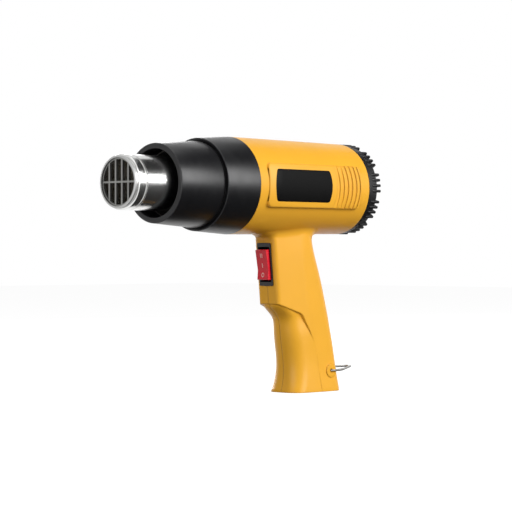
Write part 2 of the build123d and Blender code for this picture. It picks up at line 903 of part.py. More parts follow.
with BuildPart() as nameplate:
    with BuildSketch(Plane.XZ.offset(-pad_depth)) as plate_outline:
        bowed(x_plate_front, x_plate_rear, plate_height / 2, -plate_bow, plate_bow)
        fillet(plate_outline.vertices(), plate_corner)
    side_block(plate_outline.sketch)
    add(plate_skin, mode=Mode.INTERSECT)
    add(plate_floor, mode=Mode.SUBTRACT)

with BuildPart() as plate_seat:
    with BuildSketch(Plane.XZ.offset(-pad_depth)) as seat_outline:
        add(plate_outline.sketch)
        offset(amount=fit_gap)
    side_block(seat_outline.sketch)
    add(plate_floor, mode=Mode.SUBTRACT)

with BuildPart() as side_grooves:
    for i in range(groove_count):
        width = groove_wide if i == 0 else groove_narrow
        x_groove = x_pad_front - groove_inset - i * groove_pitch + groove_bow
        if i == 0:
            x_groove += (groove_wide - groove_narrow) / 2
        with BuildSketch(Plane.XZ.offset(-pad_depth)) as groove_outline:
            bowed(
                x_groove + width / 2,
                x_groove - width / 2,
                pad_half_height + groove_depth,
                groove_bow,
                groove_bow,
            )
        side_block(groove_outline.sketch)
    add(groove_floor, mode=Mode.SUBTRACT)

# Loop pivot, inlet, switch window and screws, as places in the handle's middle plane
loop_x = 170.1
loop_z = 139.7
loop_boss_r = 5.2
loop_boss_face = 16.8
loop_boss_sleeve = 3.4
loop_eye_r = 1.4
loop_eye_depth = 1.0
loop_pin_end = 13.0
wire_r = 0.85
inlet_x = 159.0
inlet_r = 5.0
inlet_bore = 3.6
inlet_flange_r = 6.6
inlet_flange = 1.5
bezel_length = 32.4
bezel_width = 13.4
bezel_thick = 1.2
bezel_top = 42.1
switch_length = 28.4
switch_width = 12.4
switch_depth = 20.0
switch_drop = bezel_top + bezel_length / 2 * cos(radians(panel_lean))
switch_x = -panel_x - tan(radians(panel_lean)) * (switch_drop - panel_top)
switch_up = (sin(radians(panel_lean)), 0, cos(radians(panel_lean)))
switch_out = (cos(radians(panel_lean)), 0, -sin(radians(panel_lean)))
switch_plane = Plane(origin=(switch_x, 0, -switch_drop), x_dir=switch_up, z_dir=switch_out)
screw_r = 1.45
case_head_r = 2.4
barrel_post_r = 3.2
barrel_post_z = 30.2
barrel_post_inset = 11.5
barrel_post_rear = 17.5
barrel_seat = 14.0
handle_post_r = 4.2
handle_seat = 8.0
post_bite = 9.0
head_thick = 2.0
barrel_posts = [
    (x, z)
    for x in (x_barrel_front - barrel_post_inset, x_barrel_rear + barrel_post_rear)
    for z in (barrel_post_z, -barrel_post_z)
]
handle_post_shares = ((0.96, 0.322), (1.035, 0.700), (0.93, 0.945))
handle_posts = [(-heel_x * back, -handle_depth * down) for back, down in handle_post_shares]
cup_key_r = barrel_bore_r + key_depth
rib_thick = 2.0
rib_shares = (0.26, 0.51, 0.75)
capacitor_width = 13.0
capacitor_height = 17.5
capacitor_thick = 8.0
capacitor_x = 143.0
capacitor_z = 85.0
pocket_rib = 1.5
clamp_post_r = 3.2
clamp_z = 131.0
clamp_spread = 16.0
clamp_reach = 3.4
clamp_thick = 3.0
clamp_screw_r = 1.2
clamp_head_r = 2.4
clamp_head = 1.6
clamp_screw_grip = 8.0

handle_outside = handle_solid(0)
handle_inside = handle_solid(housing_wall)

# Outer form of both halves, solid right through
with BuildPart() as casing_form:
    with BuildSketch(Plane.XY):
        Polygon(
            (x_barrel_front, 0),
            (x_barrel_front, barrel_r_front),
            (x_barrel_rear, barrel_r_rear),
            (x_barrel_rear, 0),
            align=None,
        )
    revolve(axis=Axis.X)
    add(handle_outside)
    root = [
        edge
        for edge in casing_form.edges().filter_by(GeomType.BSPLINE)
        if -barrel_r_front < edge.center().Z < -barrel_r_rear * 3 / 4
    ]
    fillet(root, junction_round)
    add(side_pad.part)
    add(side_pad.part.mirror(Plane.XZ))
    for side in (1, -1):
        with BuildSketch(Plane.XZ.offset(-side * (grip_half - housing_wall))) as boss:
            with Locations((-loop_x, -loop_z)):
                Circle(loop_boss_r)
        extrude(boss.sketch, amount=-side * (loop_boss_face - grip_half + housing_wall))
    add(side_grooves.part, mode=Mode.SUBTRACT)
    add(side_grooves.part.mirror(Plane.XZ), mode=Mode.SUBTRACT)

# Hollow casing with its ribs, keys and openings, before it is parted into halves
with BuildPart() as casing:
    add(casing_form.part)
    with BuildSketch(Plane.YZ.offset(x_barrel_rear - overrun)) as bore:
        Circle(barrel_bore_r)
    extrude(bore.sketch, amount=span, mode=Mode.SUBTRACT)
    add(handle_inside, mode=Mode.SUBTRACT)
    x_ribs = [x_barrel_front - barrel_length * share for share in rib_shares]
    for x in x_ribs:
        disc_stack(x, [(rib_thick, barrel_bore_r + key_depth, duct_r + fit_gap)])
    x_rib = x_key_groove - fit_gap
    key_tip = key_r - key_depth + fit_gap
    disc_stack(x_rib, [(key_groove - 2 * fit_gap, barrel_bore_r + key_depth, key_tip)])
    with BuildSketch(Plane.YZ.offset(x_cup_flange - cup_flange - fit_gap)) as cup_groove:
        Circle(cup_key_r)
    extrude(cup_groove.sketch, amount=cup_flange + 2 * fit_gap, mode=Mode.SUBTRACT)
    with BuildSketch(switch_plane) as window:
        Rectangle(switch_length + 2 * fit_gap, switch_width + 2 * fit_gap)
    extrude(window.sketch, amount=-switch_depth, mode=Mode.SUBTRACT)
    with BuildSketch(Plane.XY.offset(-handle_depth - overrun)) as inlet:
        with Locations((-inlet_x, 0)):
            Circle(inlet_r)
    extrude(inlet.sketch, amount=housing_wall + 2 * overrun, mode=Mode.SUBTRACT)


def case_circles(side, depth, barrel_radius, handle_radius):
    """Post circles on a plane at a depth inside one half, which is +1 on the left."""
    with BuildSketch(Plane.XZ.offset(-side * depth)) as circles:
        with Locations(*barrel_posts):
            Circle(barrel_radius)
        with Locations(*handle_posts):
            Circle(handle_radius)
    return circles.sketch


def loop_circle(side, depth, radius):
    """Circle about the hanging loop's pivot, on a plane at a depth inside one half."""
    with BuildSketch(Plane.XZ.offset(-side * depth)) as circle:
        with Locations((-loop_x, -loop_z)):
            Circle(radius)
    return circle.sketch


def inner_posts(side):
    """Screw posts and the loop's inner sleeve of one half, trimmed to the outer form."""
    with BuildPart() as posts:
        extrude(case_circles(side, 0, barrel_post_r, handle_post_r), amount=-side * barrel_r_rear)
        sleeve = loop_circle(side, loop_pin_end - overrun, loop_boss_sleeve)
        extrude(sleeve, amount=-side * barrel_r_rear)
        if side == 1:
            with BuildSketch(Plane.XZ.offset(clamp_reach)) as feet:
                with Locations((-inlet_x, -clamp_z)):
                    with GridLocations(clamp_spread, 0, 2, 1):
                        Circle(clamp_post_r)
            extrude(feet.sketch, amount=-barrel_r_rear)
            with BuildSketch(Plane.XZ.offset(-capacitor_thick / 4)) as pocket:
                with Locations((-capacitor_x, -capacitor_z)):
                    with GridLocations(0, capacitor_height + 2 * fit_gap + pocket_rib, 1, 2):
                        Rectangle(capacitor_width, pocket_rib)
            extrude(pocket.sketch, amount=-barrel_r_rear)
        add(casing_form.part, mode=Mode.INTERSECT)
    return posts.part


def loop_eye(side):
    """Drill the hanging loop's bearing into one half, with the wider eye outside."""
    bearing = loop_circle(side, loop_pin_end, wire_r + slide_gap)
    extrude(bearing, amount=-side * barrel_r_rear, mode=Mode.SUBTRACT)
    eye = loop_circle(side, loop_boss_face - loop_eye_depth, loop_eye_r)
    extrude(eye, amount=-side * barrel_r_rear, mode=Mode.SUBTRACT)


left_posts = inner_posts(1)
right_posts = inner_posts(-1)

# Left half of the housing: nameplate seat, blind posts and the inner brackets
with BuildPart() as housing_left:
    add(casing.part)
    split(bisect_by=Plane.XZ, keep=Keep.BOTTOM)
    add(left_posts)
    add(plate_seat.part, mode=Mode.SUBTRACT)
    pilots = case_circles(1, 0, screw_r + slide_gap, screw_r + slide_gap)
    extrude(pilots, amount=-post_bite - overrun, mode=Mode.SUBTRACT)
    with BuildSketch(Plane.XZ.offset(clamp_reach)) as clamp_pilots:
        with Locations((-inlet_x, -clamp_z)):
            with GridLocations(clamp_spread, 0, 2, 1):
                Circle(clamp_screw_r + slide_gap)
    extrude(clamp_pilots.sketch, amount=-clamp_screw_grip - overrun, mode=Mode.SUBTRACT)
    loop_eye(1)

# Right half of the housing: the screws enter here
with BuildPart() as housing_right:
    add(casing.part)
    split(bisect_by=Plane.XZ, keep=Keep.TOP)
    add(right_posts)
    shank_hole = screw_r + screw_slack
    extrude(
        case_circles(-1, 0, shank_hole, shank_hole), amount=barrel_r_rear, mode=Mode.SUBTRACT
    )
    head_hole = case_head_r + screw_slack
    extrude(
        case_circles(-1, barrel_seat, head_hole, screw_r), amount=barrel_r_rear, mode=Mode.SUBTRACT
    )
    extrude(
        case_circles(-1, handle_seat, screw_r, head_hole), amount=barrel_r_rear, mode=Mode.SUBTRACT
    )
    loop_eye(-1)


def case_screws(places, seat):
    """Pan-head screws along Y, with their heads seated inside the right half."""
    with BuildPart() as screws:
        for depth, radius, length in (
            (seat, screw_r, seat + post_bite),
            (seat + head_thick, case_head_r, head_thick),
        ):
            with BuildSketch(Plane.XZ.offset(depth)) as circles:
                with Locations(*places):
                    Circle(radius)
            extrude(circles.sketch, amount=-length)
    return screws.part


barrel_screws = case_screws(barrel_posts, barrel_seat)
handle_screws = case_screws(handle_posts, handle_seat)

# Rocker switch, drawn in its own plane: X up the panel, Z out of the panel
window_length = 26.4
window_width = 11.5
window_round = 0.8
switch_floor = 3.0
trunnion_r = 1.6
trunnion_drop = 3.5
rocker_half = 11.35
rocker_width = 10.9
rocker_proud = 4.7
rocker_kink = 3.4
kink_drop = 4.3
rocker_skirt = 1.2
rocker_hub = 3.0
rocker_hub_drop = 5.8
rocker_slope = 8.0
rocker_round = 0.6
lever_length = 3.5
lever_thick = 1.6
blade_width = 4.8
blade_tag = 0.8
blade_reach = 8.0
blade_pitch = 6.2
blade_count = 4
rocker_plane = Plane(
    origin=switch_plane.origin, x_dir=switch_plane.x_dir, z_dir=-switch_plane.y_dir
)
rocker_side = 1 if rocker_plane.to_local_coords(switch_plane.origin + switch_plane.z_dir).Y > 0 else -1


def rocker_axis_circle(radius, width):
    """Extrude a round bar along the rocker's pivot, centred on the panel's middle."""
    with BuildSketch(rocker_plane) as circle:
        with Locations((0, -rocker_side * trunnion_drop)):
            Circle(radius)
    return extrude(circle.sketch, amount=width / 2, both=True, mode=Mode.PRIVATE)


with BuildPart() as switch_body:
    with BuildSketch(switch_plane):
        RectangleRounded(bezel_length, bezel_width, window_round)
    extrude(amount=bezel_thick)
    with BuildSketch(switch_plane):
        Rectangle(switch_length, switch_width)
    extrude(amount=-switch_depth)
    with BuildSketch(switch_plane.offset(bezel_thick)):
        Rectangle(window_length, window_width)
    extrude(amount=-bezel_thick - switch_depth + switch_floor, mode=Mode.SUBTRACT)
    add(rocker_axis_circle(trunnion_r + slide_gap, bezel_width), mode=Mode.SUBTRACT)
    with BuildSketch(switch_plane.offset(-switch_depth)):
        with GridLocations(blade_pitch, 0, blade_count, 1):
            Rectangle(blade_tag + fit_gap, blade_width + fit_gap)
    extrude(amount=switch_floor / 2, mode=Mode.SUBTRACT)

with BuildPart() as switch_terminals:
    with BuildSketch(switch_plane.offset(-switch_depth - blade_reach)):
        with GridLocations(blade_pitch, 0, blade_count, 1):
            Rectangle(blade_tag, blade_width)
    extrude(amount=blade_reach + switch_floor / 2)

with BuildPart() as switch_rocker:
    with BuildSketch(rocker_plane) as rocker_outline:
        with BuildLine():
            Polyline(
                *[
                    (x, rocker_side * z)
                    for x, z in (
                        (rocker_half, rocker_proud),
                        (-kink_drop, rocker_kink),
                        (-rocker_half, rocker_proud),
                        (-rocker_half, -rocker_skirt),
                        (-rocker_slope, -rocker_skirt - rocker_round),
                        (-rocker_hub, -rocker_hub_drop),
                        (-lever_thick / 2, -rocker_hub_drop),
                        (-lever_thick / 2, -rocker_hub_drop - lever_length),
                        (lever_thick / 2, -rocker_hub_drop - lever_length),
                        (lever_thick / 2, -rocker_hub_drop),
                        (rocker_hub, -rocker_hub_drop),
                        (rocker_slope, -rocker_skirt - rocker_round),
                        (rocker_half, -rocker_skirt),
                    )
                ],
                close=True,
            )
        make_face()
        ends = rocker_outline.vertices().filter_by(
            lambda v: abs(v.Y - rocker_side * rocker_proud) < fit_gap
        )
        fillet(ends, rocker_round)
    extrude(amount=rocker_width / 2, both=True)
    add(rocker_axis_circle(trunnion_r, switch_width - fit_gap))

# Mains parts in the handle: suppression capacitor, cord clamp and inlet grommet
with BuildPart() as suppression_capacitor:
    with BuildSketch(Plane.XZ.offset(-capacitor_thick / 2)):
        with Locations((-capacitor_x, -capacitor_z)):
            RectangleRounded(capacitor_width, capacitor_height, capacitor_thick / 8)
    extrude(amount=capacitor_thick)

with BuildPart() as cord_clamp:
    with BuildSketch(Plane.XZ.offset(clamp_reach)):
        with Locations((-inlet_x, -clamp_z)):
            SlotCenterToCenter(clamp_spread, 2 * clamp_post_r)
            with GridLocations(clamp_spread, 0, 2, 1):
                Circle(clamp_screw_r + screw_slack, mode=Mode.SUBTRACT)
    extrude(amount=clamp_thick)
    with BuildSketch(Plane.XY.offset(-clamp_z - clamp_post_r)):
        with Locations((-inlet_x, -clamp_reach + clamp_thick / 2)):
            Circle(inlet_bore)
    extrude(amount=2 * clamp_post_r, mode=Mode.SUBTRACT)

with BuildPart() as cord_clamp_screws:
    clamp_face = clamp_reach + clamp_thick
    for depth, radius, length in (
        (clamp_face, clamp_screw_r, clamp_thick + clamp_screw_grip),
        (clamp_face + clamp_head, clamp_head_r, clamp_head),
    ):
        with BuildSketch(Plane.XZ.offset(depth)):
            with Locations((-inlet_x, -clamp_z)):
                with GridLocations(clamp_spread, 0, 2, 1):
                    Circle(radius)
        extrude(amount=-length)

with BuildPart() as inlet_grommet:
    z_floor = -handle_depth + housing_wall
    for z, radius, length in (
        (-handle_depth + run_gap, inlet_r - fit_gap, housing_wall - run_gap),
        (z_floor, inlet_flange_r, inlet_flange),
    ):
        with BuildSketch(Plane.XY.offset(z)):
            with Locations((-inlet_x, 0)):
                Circle(radius)
                Circle(inlet_bore, mode=Mode.SUBTRACT)
        extrude(amount=length)

# Hanging loop: one bent wire whose ends turn in the handle's two eyes
loop_reach = 39.0
loop_rise = 2.0
loop_leg_y = 18.1
loop_straight = 11.0
loop_elbow = 1.8
loop_bend = 6.0
loop_tip = 3.5
loop_lift = sin(radians(loop_rise))
loop_plane = Plane(
    origin=(-loop_x, 0, -loop_z),
    x_dir=(-cos(radians(loop_rise)), 0, loop_lift),
    z_dir=(loop_lift, 0, cos(radians(loop_rise))),
)

with BuildPart() as hang_loop:
    with BuildLine(loop_plane) as loop_path:
        pin_end = loop_pin_end + fit_gap
        tip_x = loop_reach + loop_tip
        FilletPolyline(
            (0, -pin_end),
            (0, -loop_leg_y),
            (loop_straight, -loop_leg_y),
            (tip_x, 0),
            (loop_straight, loop_leg_y),
            (0, loop_leg_y),
            (0, pin_end),
            radius=[loop_elbow, loop_bend, loop_tip, loop_bend, loop_elbow],
        )
    with BuildSketch(Plane(origin=loop_path.line @ 0, z_dir=loop_path.line % 0)):
        Circle(wire_r)
    sweep(path=loop_path.line)

for piece, name in (
    (nozzle_tube.part, "nozzle_tube"),
    (nozzle_grille.part, "nozzle_grille"),
    (nozzle_guard.part, "nozzle_guard"),
    (shroud_base.part, "shroud_base"),
    (heat_shield.part, "heat_shield"),
    (heater_flange.part, "heater_flange"),
    (heater_screws.part, "heater_screws"),
    (mica_sleeve.part, "mica_sleeve"),
    (heater_core.part, "heater_core"),
    (heating_coils.part, "heating_coils"),
    (thermal_cutout.part, "thermal_cutout"),
    (fan_duct.part, "fan_duct"),
    (motor_can.part, "motor_can"),
    (motor_magnets.part, "motor_magnets"),
    (motor_end_cap.part, "motor_end_cap"),
    (motor_bushes.part, "motor_bushes"),
    (motor_brushes.part, "motor_brushes"),
    (motor_terminals.part, "motor_terminals"),
    (motor_screws.part, "motor_screws"),
    (rectifier_board.part, "rectifier_board"),
    (rectifier_diodes.part, "rectifier_diodes"),
    (motor_shaft.part, "motor_shaft"),
    (rotor_core.part, "rotor_core"),
    (rotor_windings.part, "rotor_windings"),
    (commutator.part, "commutator"),
    (impeller.part, "impeller"),
    (intake_grille.part, "intake_grille"),
    (intake_cap.part, "intake_cap"),
    (cap_screw.part, "cap_screw"),
    (housing_left.part, "housing_left"),
    (housing_right.part, "housing_right"),
    (nameplate.part, "nameplate"),
    (barrel_screws, "barrel_screws"),
    (handle_screws, "handle_screws"),
    (switch_body.part, "switch_body"),
    (switch_rocker.part, "switch_rocker"),
    (switch_terminals.part, "switch_terminals"),
    (suppression_capacitor.part, "suppression_capacitor"),
    (cord_clamp.part, "cord_clamp"),
    (cord_clamp_screws.part, "cord_clamp_screws"),
    (inlet_grommet.part, "inlet_grommet"),
    (hang_loop.part, "hang_loop"),
):
    save(piece, name)
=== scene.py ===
"""Dresses the pistol heat tool: finishes, turned and moulded forms, marks, coils and studio."""

import logging
import math
from dataclasses import dataclass, field
from enum import Enum

import bmesh
import bpy
from mathutils import Matrix, Quaternion, Vector


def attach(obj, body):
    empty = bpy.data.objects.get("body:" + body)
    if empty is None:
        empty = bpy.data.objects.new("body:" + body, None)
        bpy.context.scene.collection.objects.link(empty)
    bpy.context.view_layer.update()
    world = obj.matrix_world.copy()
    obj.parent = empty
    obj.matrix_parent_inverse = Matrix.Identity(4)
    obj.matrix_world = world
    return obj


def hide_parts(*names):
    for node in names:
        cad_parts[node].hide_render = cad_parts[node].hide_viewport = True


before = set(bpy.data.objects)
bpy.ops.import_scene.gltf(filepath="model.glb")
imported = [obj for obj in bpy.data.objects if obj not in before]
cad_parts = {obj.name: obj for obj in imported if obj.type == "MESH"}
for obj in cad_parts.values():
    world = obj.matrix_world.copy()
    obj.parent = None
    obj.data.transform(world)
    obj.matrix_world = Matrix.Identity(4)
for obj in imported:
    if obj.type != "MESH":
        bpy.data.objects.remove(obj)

LOG = logging.getLogger("heat_tool")
MM = 0.001
SHARP_ANGLE = math.radians(32)
Pair = tuple[float, float]
Triple = tuple[float, float, float]
Strips = tuple[int, float]
Colour = Triple
Mesh = bmesh.types.BMesh
Socket = bpy.types.NodeSocket

# Sockets of a Mix node that blends colours
MIX_SHARE, MIX_FIRST, MIX_SECOND, MIX_RESULT = 0, 6, 7, 2


class Grain(Enum):
    """How a moulded surface was textured in its tool."""

    POLISHED = "polished"
    SATIN = "satin"
    SPARKED = "sparked"


GRAIN_DEPTH = {Grain.POLISHED: 0.01, Grain.SATIN: 0.05, Grain.SPARKED: 0.12}


class Tree:
    """A node tree, with short calls that add and join its nodes."""

    def __init__(self, owner: bpy.types.ID, bare: bool = False) -> None:
        """Open the node tree of a material or a world.

        Args:
            owner: The material or the world.
            bare: Whether its ready-made nodes are cleared away.
        """
        owner.use_nodes = True
        self.tree = owner.node_tree
        if bare:
            self.tree.nodes.clear()

    def feed(self, socket: Socket, value: object) -> None:
        """Set an input, or link it where the value is another node's output.

        Args:
            socket: The input.
            value: A plain value or an output socket.
        """
        if isinstance(value, Socket):
            self.tree.links.new(value, socket)
        else:
            socket.default_value = value

    def add(self, kind: str, **inputs: object) -> bpy.types.Node:
        """Add a node and set or link its inputs.

        Args:
            kind: The node's type without its ShaderNode prefix.
            inputs: Socket names, with underscores for spaces, and values or output sockets.

        Returns:
            The new node.
        """
        node = self.tree.nodes.new("ShaderNode" + kind)
        for key, value in inputs.items():
            self.feed(node.inputs[key.replace("_", " ")], value)
        return node

    def maths(self, operation: str, *values: object, clamp: bool = False) -> Socket:
        """Work out a number from numbers or sockets.

        Args:
            operation: The maths node's operation.
            values: One to three numbers or output sockets.
            clamp: Whether the result is kept between 0 and 1.

        Returns:
            The result's socket.
        """
        node = self.add("Math")
        node.operation = operation
        node.use_clamp = clamp
        for socket, value in zip(node.inputs, values):
            self.feed(socket, value)
        return node.outputs[0]


class Recipe(Tree):
    """Node tree of one material with its surface shader."""

    def __init__(self, name: str) -> None:
        """Make a material and open its node tree.

        Args:
            name: The material's name.
        """
        self.material = bpy.data.materials.new(name)
        super().__init__(self.material)
        self.shader = self.tree.nodes["Principled BSDF"]
        self.place = self.add("TexCoord").outputs["Object"]

    def noise(self, scale: float, detail: float = 2.0, stretch: Triple = (1, 1, 1)) -> Socket:
        """Cloudy pattern fixed to the object.

        Args:
            scale: Number of cells in a metre.
            detail: Number of finer layers.
            stretch: Factor on each axis.

        Returns:
            The pattern's value, about 0.5 on average.
        """
        mapping = self.add("Mapping", Vector=self.place, Scale=stretch)
        noise = self.add("TexNoise", Vector=mapping.outputs[0], Scale=scale, Detail=detail)
        return noise.outputs["Fac"]

    def ramp(self, value: Socket, stops: list[tuple[float, Colour]]) -> Socket:
        """Turn a value into a colour.

        Args:
            value: The value's socket.
            stops: Positions and linear colours, in order.

        Returns:
            The colour's socket.
        """
        node = self.add("ValToRGB")
        self.feed(node.inputs[0], value)
        points = node.color_ramp.elements
        for point, (position, colour) in zip(points, stops):
            point.position = position
            point.color = (*colour, 1)
        return node.outputs["Color"]

    def spread(self, value: Socket, low: float, high: float, source: Pair = (0, 1)) -> Socket:
        """Map a value's range onto another.

        Args:
            value: The value's socket.
            low: The result at the range's start.
            high: The result at its end.
            source: The value's range.

        Returns:
            The result's socket.
        """
        start, end = source
        ends = {"From_Min": start, "From_Max": end, "To_Min": low, "To_Max": high}
        return self.add("MapRange", Value=value, **ends).outputs[0]

    def mixed(self, share: Socket, first: Socket, second: Colour) -> Socket:
        """Blend a plain colour into another colour.

        Args:
            share: The plain colour's share, from 0 to 1.
            first: The other colour's socket.
            second: The plain colour.

        Returns:
            The blend's socket.
        """
        node = self.add("Mix")
        node.data_type = "RGBA"
        self.feed(node.inputs[MIX_SHARE], share)
        self.feed(node.inputs[MIX_FIRST], first)
        self.feed(node.inputs[MIX_SECOND], (*second, 1))
        return node.outputs[MIX_RESULT]

    def along(self, axis: str) -> Socket:
        """Read one coordinate of the object.

        Args:
            axis: X, Y or Z.

        Returns:
            The coordinate's socket.
        """
        return self.add("SeparateXYZ", Vector=self.place).outputs[axis]

    def band(self, value: Socket, half_width: float) -> Socket:
        """Mask that is 1 where a coordinate is near zero and fades out to both sides.

        Args:
            value: The coordinate's socket.
            half_width: Distance in metres at which the mask reaches zero.

        Returns:
            The mask's socket.
        """
        near = self.maths("DIVIDE", self.maths("ABSOLUTE", value), half_width)
        return self.maths("SUBTRACT", 1, near, clamp=True)

    def set(self, **inputs: object) -> None:
        """Set or link inputs of the surface shader, with underscores for spaces."""
        for key, value in inputs.items():
            self.feed(self.shader.inputs[key.replace("_", " ")], value)

    def bump(self, height: Socket, strength: float, edge: float) -> None:
        """Roughen the surface and soften its edges.

        Args:
            height: The height pattern's socket.
            strength: How strongly it shows.
            edge: Radius in metres to which edges look rounded, or 0 for none.
        """
        node = self.add("Bump", Height=height, Strength=strength, Distance=MM)
        if edge:
            self.feed(node.inputs["Normal"], self.add("Bevel", Radius=edge).outputs["Normal"])
        self.feed(self.shader.inputs["Normal"], node.outputs["Normal"])


def grey(level: float) -> tuple[float, ...]:
    """Make an opaque grey.

    Args:
        level: Its lightness.

    Returns:
        The linear colour with its alpha.
    """
    return (level, level, level, 1)


def shade(colour: Colour, factor: float) -> Colour:
    """Lighten or darken a linear colour.

    Args:
        colour: The colour.
        factor: The factor on each channel.

    Returns:
        The new colour.
    """
    return tuple(min(channel * factor, 1.0) for channel in colour)


@dataclass(frozen=True)
class MouldedPlastic:
    """Injection-moulded plastic, with its tool texture, slight mottling and scuffs."""

    name: str
    colour: Colour
    roughness: float
    grain: Grain = Grain.SATIN
    edge: float = 0.4 * MM
    mottle: float = 0.06
    parting_line: bool = False
    ior: float = 1.49
    cloud_scale: float = 22
    grain_scale: float = 2600
    grain_strength: float = 0.5
    scuff_scale: float = 160
    scuff_stretch: Triple = (1, 1, 0.4)
    scuff_range: Pair = (0.35, 0.75)
    scuff_factors: Pair = (0.93, 1.12)
    line_half: float = 0.28 * MM
    line_share: float = 0.35
    line_shade: float = 0.4
    line_depth: float = 0.15

    def build(self) -> bpy.types.Material:
        """Make the material.

        Returns:
            The finished material.
        """
        recipe = Recipe(self.name)
        cloud = recipe.noise(self.cloud_scale, 3)
        dark, light = shade(self.colour, 1 - self.mottle), shade(self.colour, 1 + self.mottle)
        colour = recipe.ramp(cloud, [(0.3, dark), (0.7, light)])
        grain = recipe.noise(self.grain_scale, 2)
        height = recipe.maths("MULTIPLY", grain, GRAIN_DEPTH[self.grain])
        if self.parting_line:
            line = recipe.band(recipe.along("Y"), self.line_half)
            share = recipe.maths("MULTIPLY", line, self.line_share)
            colour = recipe.mixed(share, colour, shade(self.colour, self.line_shade))
            sunk = recipe.maths("MULTIPLY", line, self.line_depth)
            height = recipe.maths("SUBTRACT", height, sunk)
        scuff = recipe.noise(self.scuff_scale, 4, self.scuff_stretch)
        low, high = (self.roughness * factor for factor in self.scuff_factors)
        rough = recipe.spread(scuff, low, high, self.scuff_range)
        recipe.set(Base_Color=colour, Roughness=rough, IOR=self.ior)
        recipe.bump(height, self.grain_strength, self.edge)
        return recipe.material


@dataclass(frozen=True)
class TurnedSteel:
    """Polished or drawn steel with fine lines round its axis and, where set, a rougher front in
    painted shade.
    """

    name: str
    colour: Colour
    roughness: float
    lines: Triple = (1, 1, 1)
    line_depth: float = 0.1
    dull_and_shaded_from: float | None = None
    lip_painted_shade: float = 0.55
    dull_roughness: float = 0.5
    line_scale: float = 900
    line_strength: float = 0.3
    line_factors: Pair = (0.8, 1.25)
    stain_scale: float = 45
    stain_shades: Pair = (0.86, 1.08)
    edge: float = 0.15 * MM

    def build(self) -> bpy.types.Material:
        """Make the material.

        Returns:
            The finished material.
        """
        recipe = Recipe(self.name)
        lines = recipe.noise(self.line_scale, 3, self.lines)
        stain = recipe.noise(self.stain_scale, 4)
        dark, light = (shade(self.colour, factor) for factor in self.stain_shades)
        colour = recipe.ramp(stain, [(0.25, dark), (0.75, light)])
        low, high = (self.roughness * factor for factor in self.line_factors)
        rough = recipe.spread(lines, low, high)
        # Towards the outlet the colour is darkened: painted shade for the dark surroundings that
        # the lip reflects. The raised roughness is a duller finish.
        if self.dull_and_shaded_from is not None:
            dull_and_shaded = recipe.maths("GREATER_THAN", recipe.along("X"), self.dull_and_shaded_from)
            colour = recipe.mixed(dull_and_shaded, colour, shade(self.colour, self.lip_painted_shade))
            least = recipe.maths("MULTIPLY", dull_and_shaded, self.dull_roughness)
            rough = recipe.maths("MAXIMUM", rough, least)
        recipe.set(Base_Color=colour, Metallic=1.0, Roughness=rough)
        depth = recipe.maths("MULTIPLY", lines, self.line_depth)
        recipe.bump(depth, self.line_strength, self.edge)
        return recipe.material


@dataclass(frozen=True)
class FiredCeramic:
    """Dry, chalky ceramic or pressed mica with pores and brown heat marks."""

    name: str
    colour: Colour
    scorch: Colour
    roughness: float = 0.85
    ior: float = 1.5
    cloud_scale: float = 120
    pore_scale: float = 1800
    pore_depth: float = 0.2
    pore_strength: float = 0.6

    def build(self) -> bpy.types.Material:
        """Make the material.

        Returns:
            The finished material.
        """
        recipe = Recipe(self.name)
        cloud = recipe.noise(self.cloud_scale, 5)
        colour = recipe.ramp(cloud, [(0.35, self.scorch), (0.55, self.colour)])
        pores = recipe.maths("MULTIPLY", recipe.noise(self.pore_scale, 3), self.pore_depth)
        recipe.set(Base_Color=colour, Roughness=self.roughness, IOR=self.ior)
        recipe.bump(pores, self.pore_strength, 0)
        return recipe.material


@dataclass(frozen=True)
class PrintedInk:
    """Pad-printed mark, slightly worn so that the plastic shows through."""

    name: str
    colour: Colour
    worn: Colour
    roughness: float = 0.45
    wear_scale: float = 1500
    wear_strength: float = 0.05

    def build(self) -> bpy.types.Material:
        """Make the material.

        Returns:
            The finished material.
        """
        recipe = Recipe(self.name)
        wear = recipe.noise(self.wear_scale, 4)
        colour = recipe.ramp(wear, [(0.12, self.worn), (0.2, self.colour)])
        recipe.set(Base_Color=colour, Roughness=self.roughness)
        recipe.bump(wear, self.wear_strength, 0)
        return recipe.material


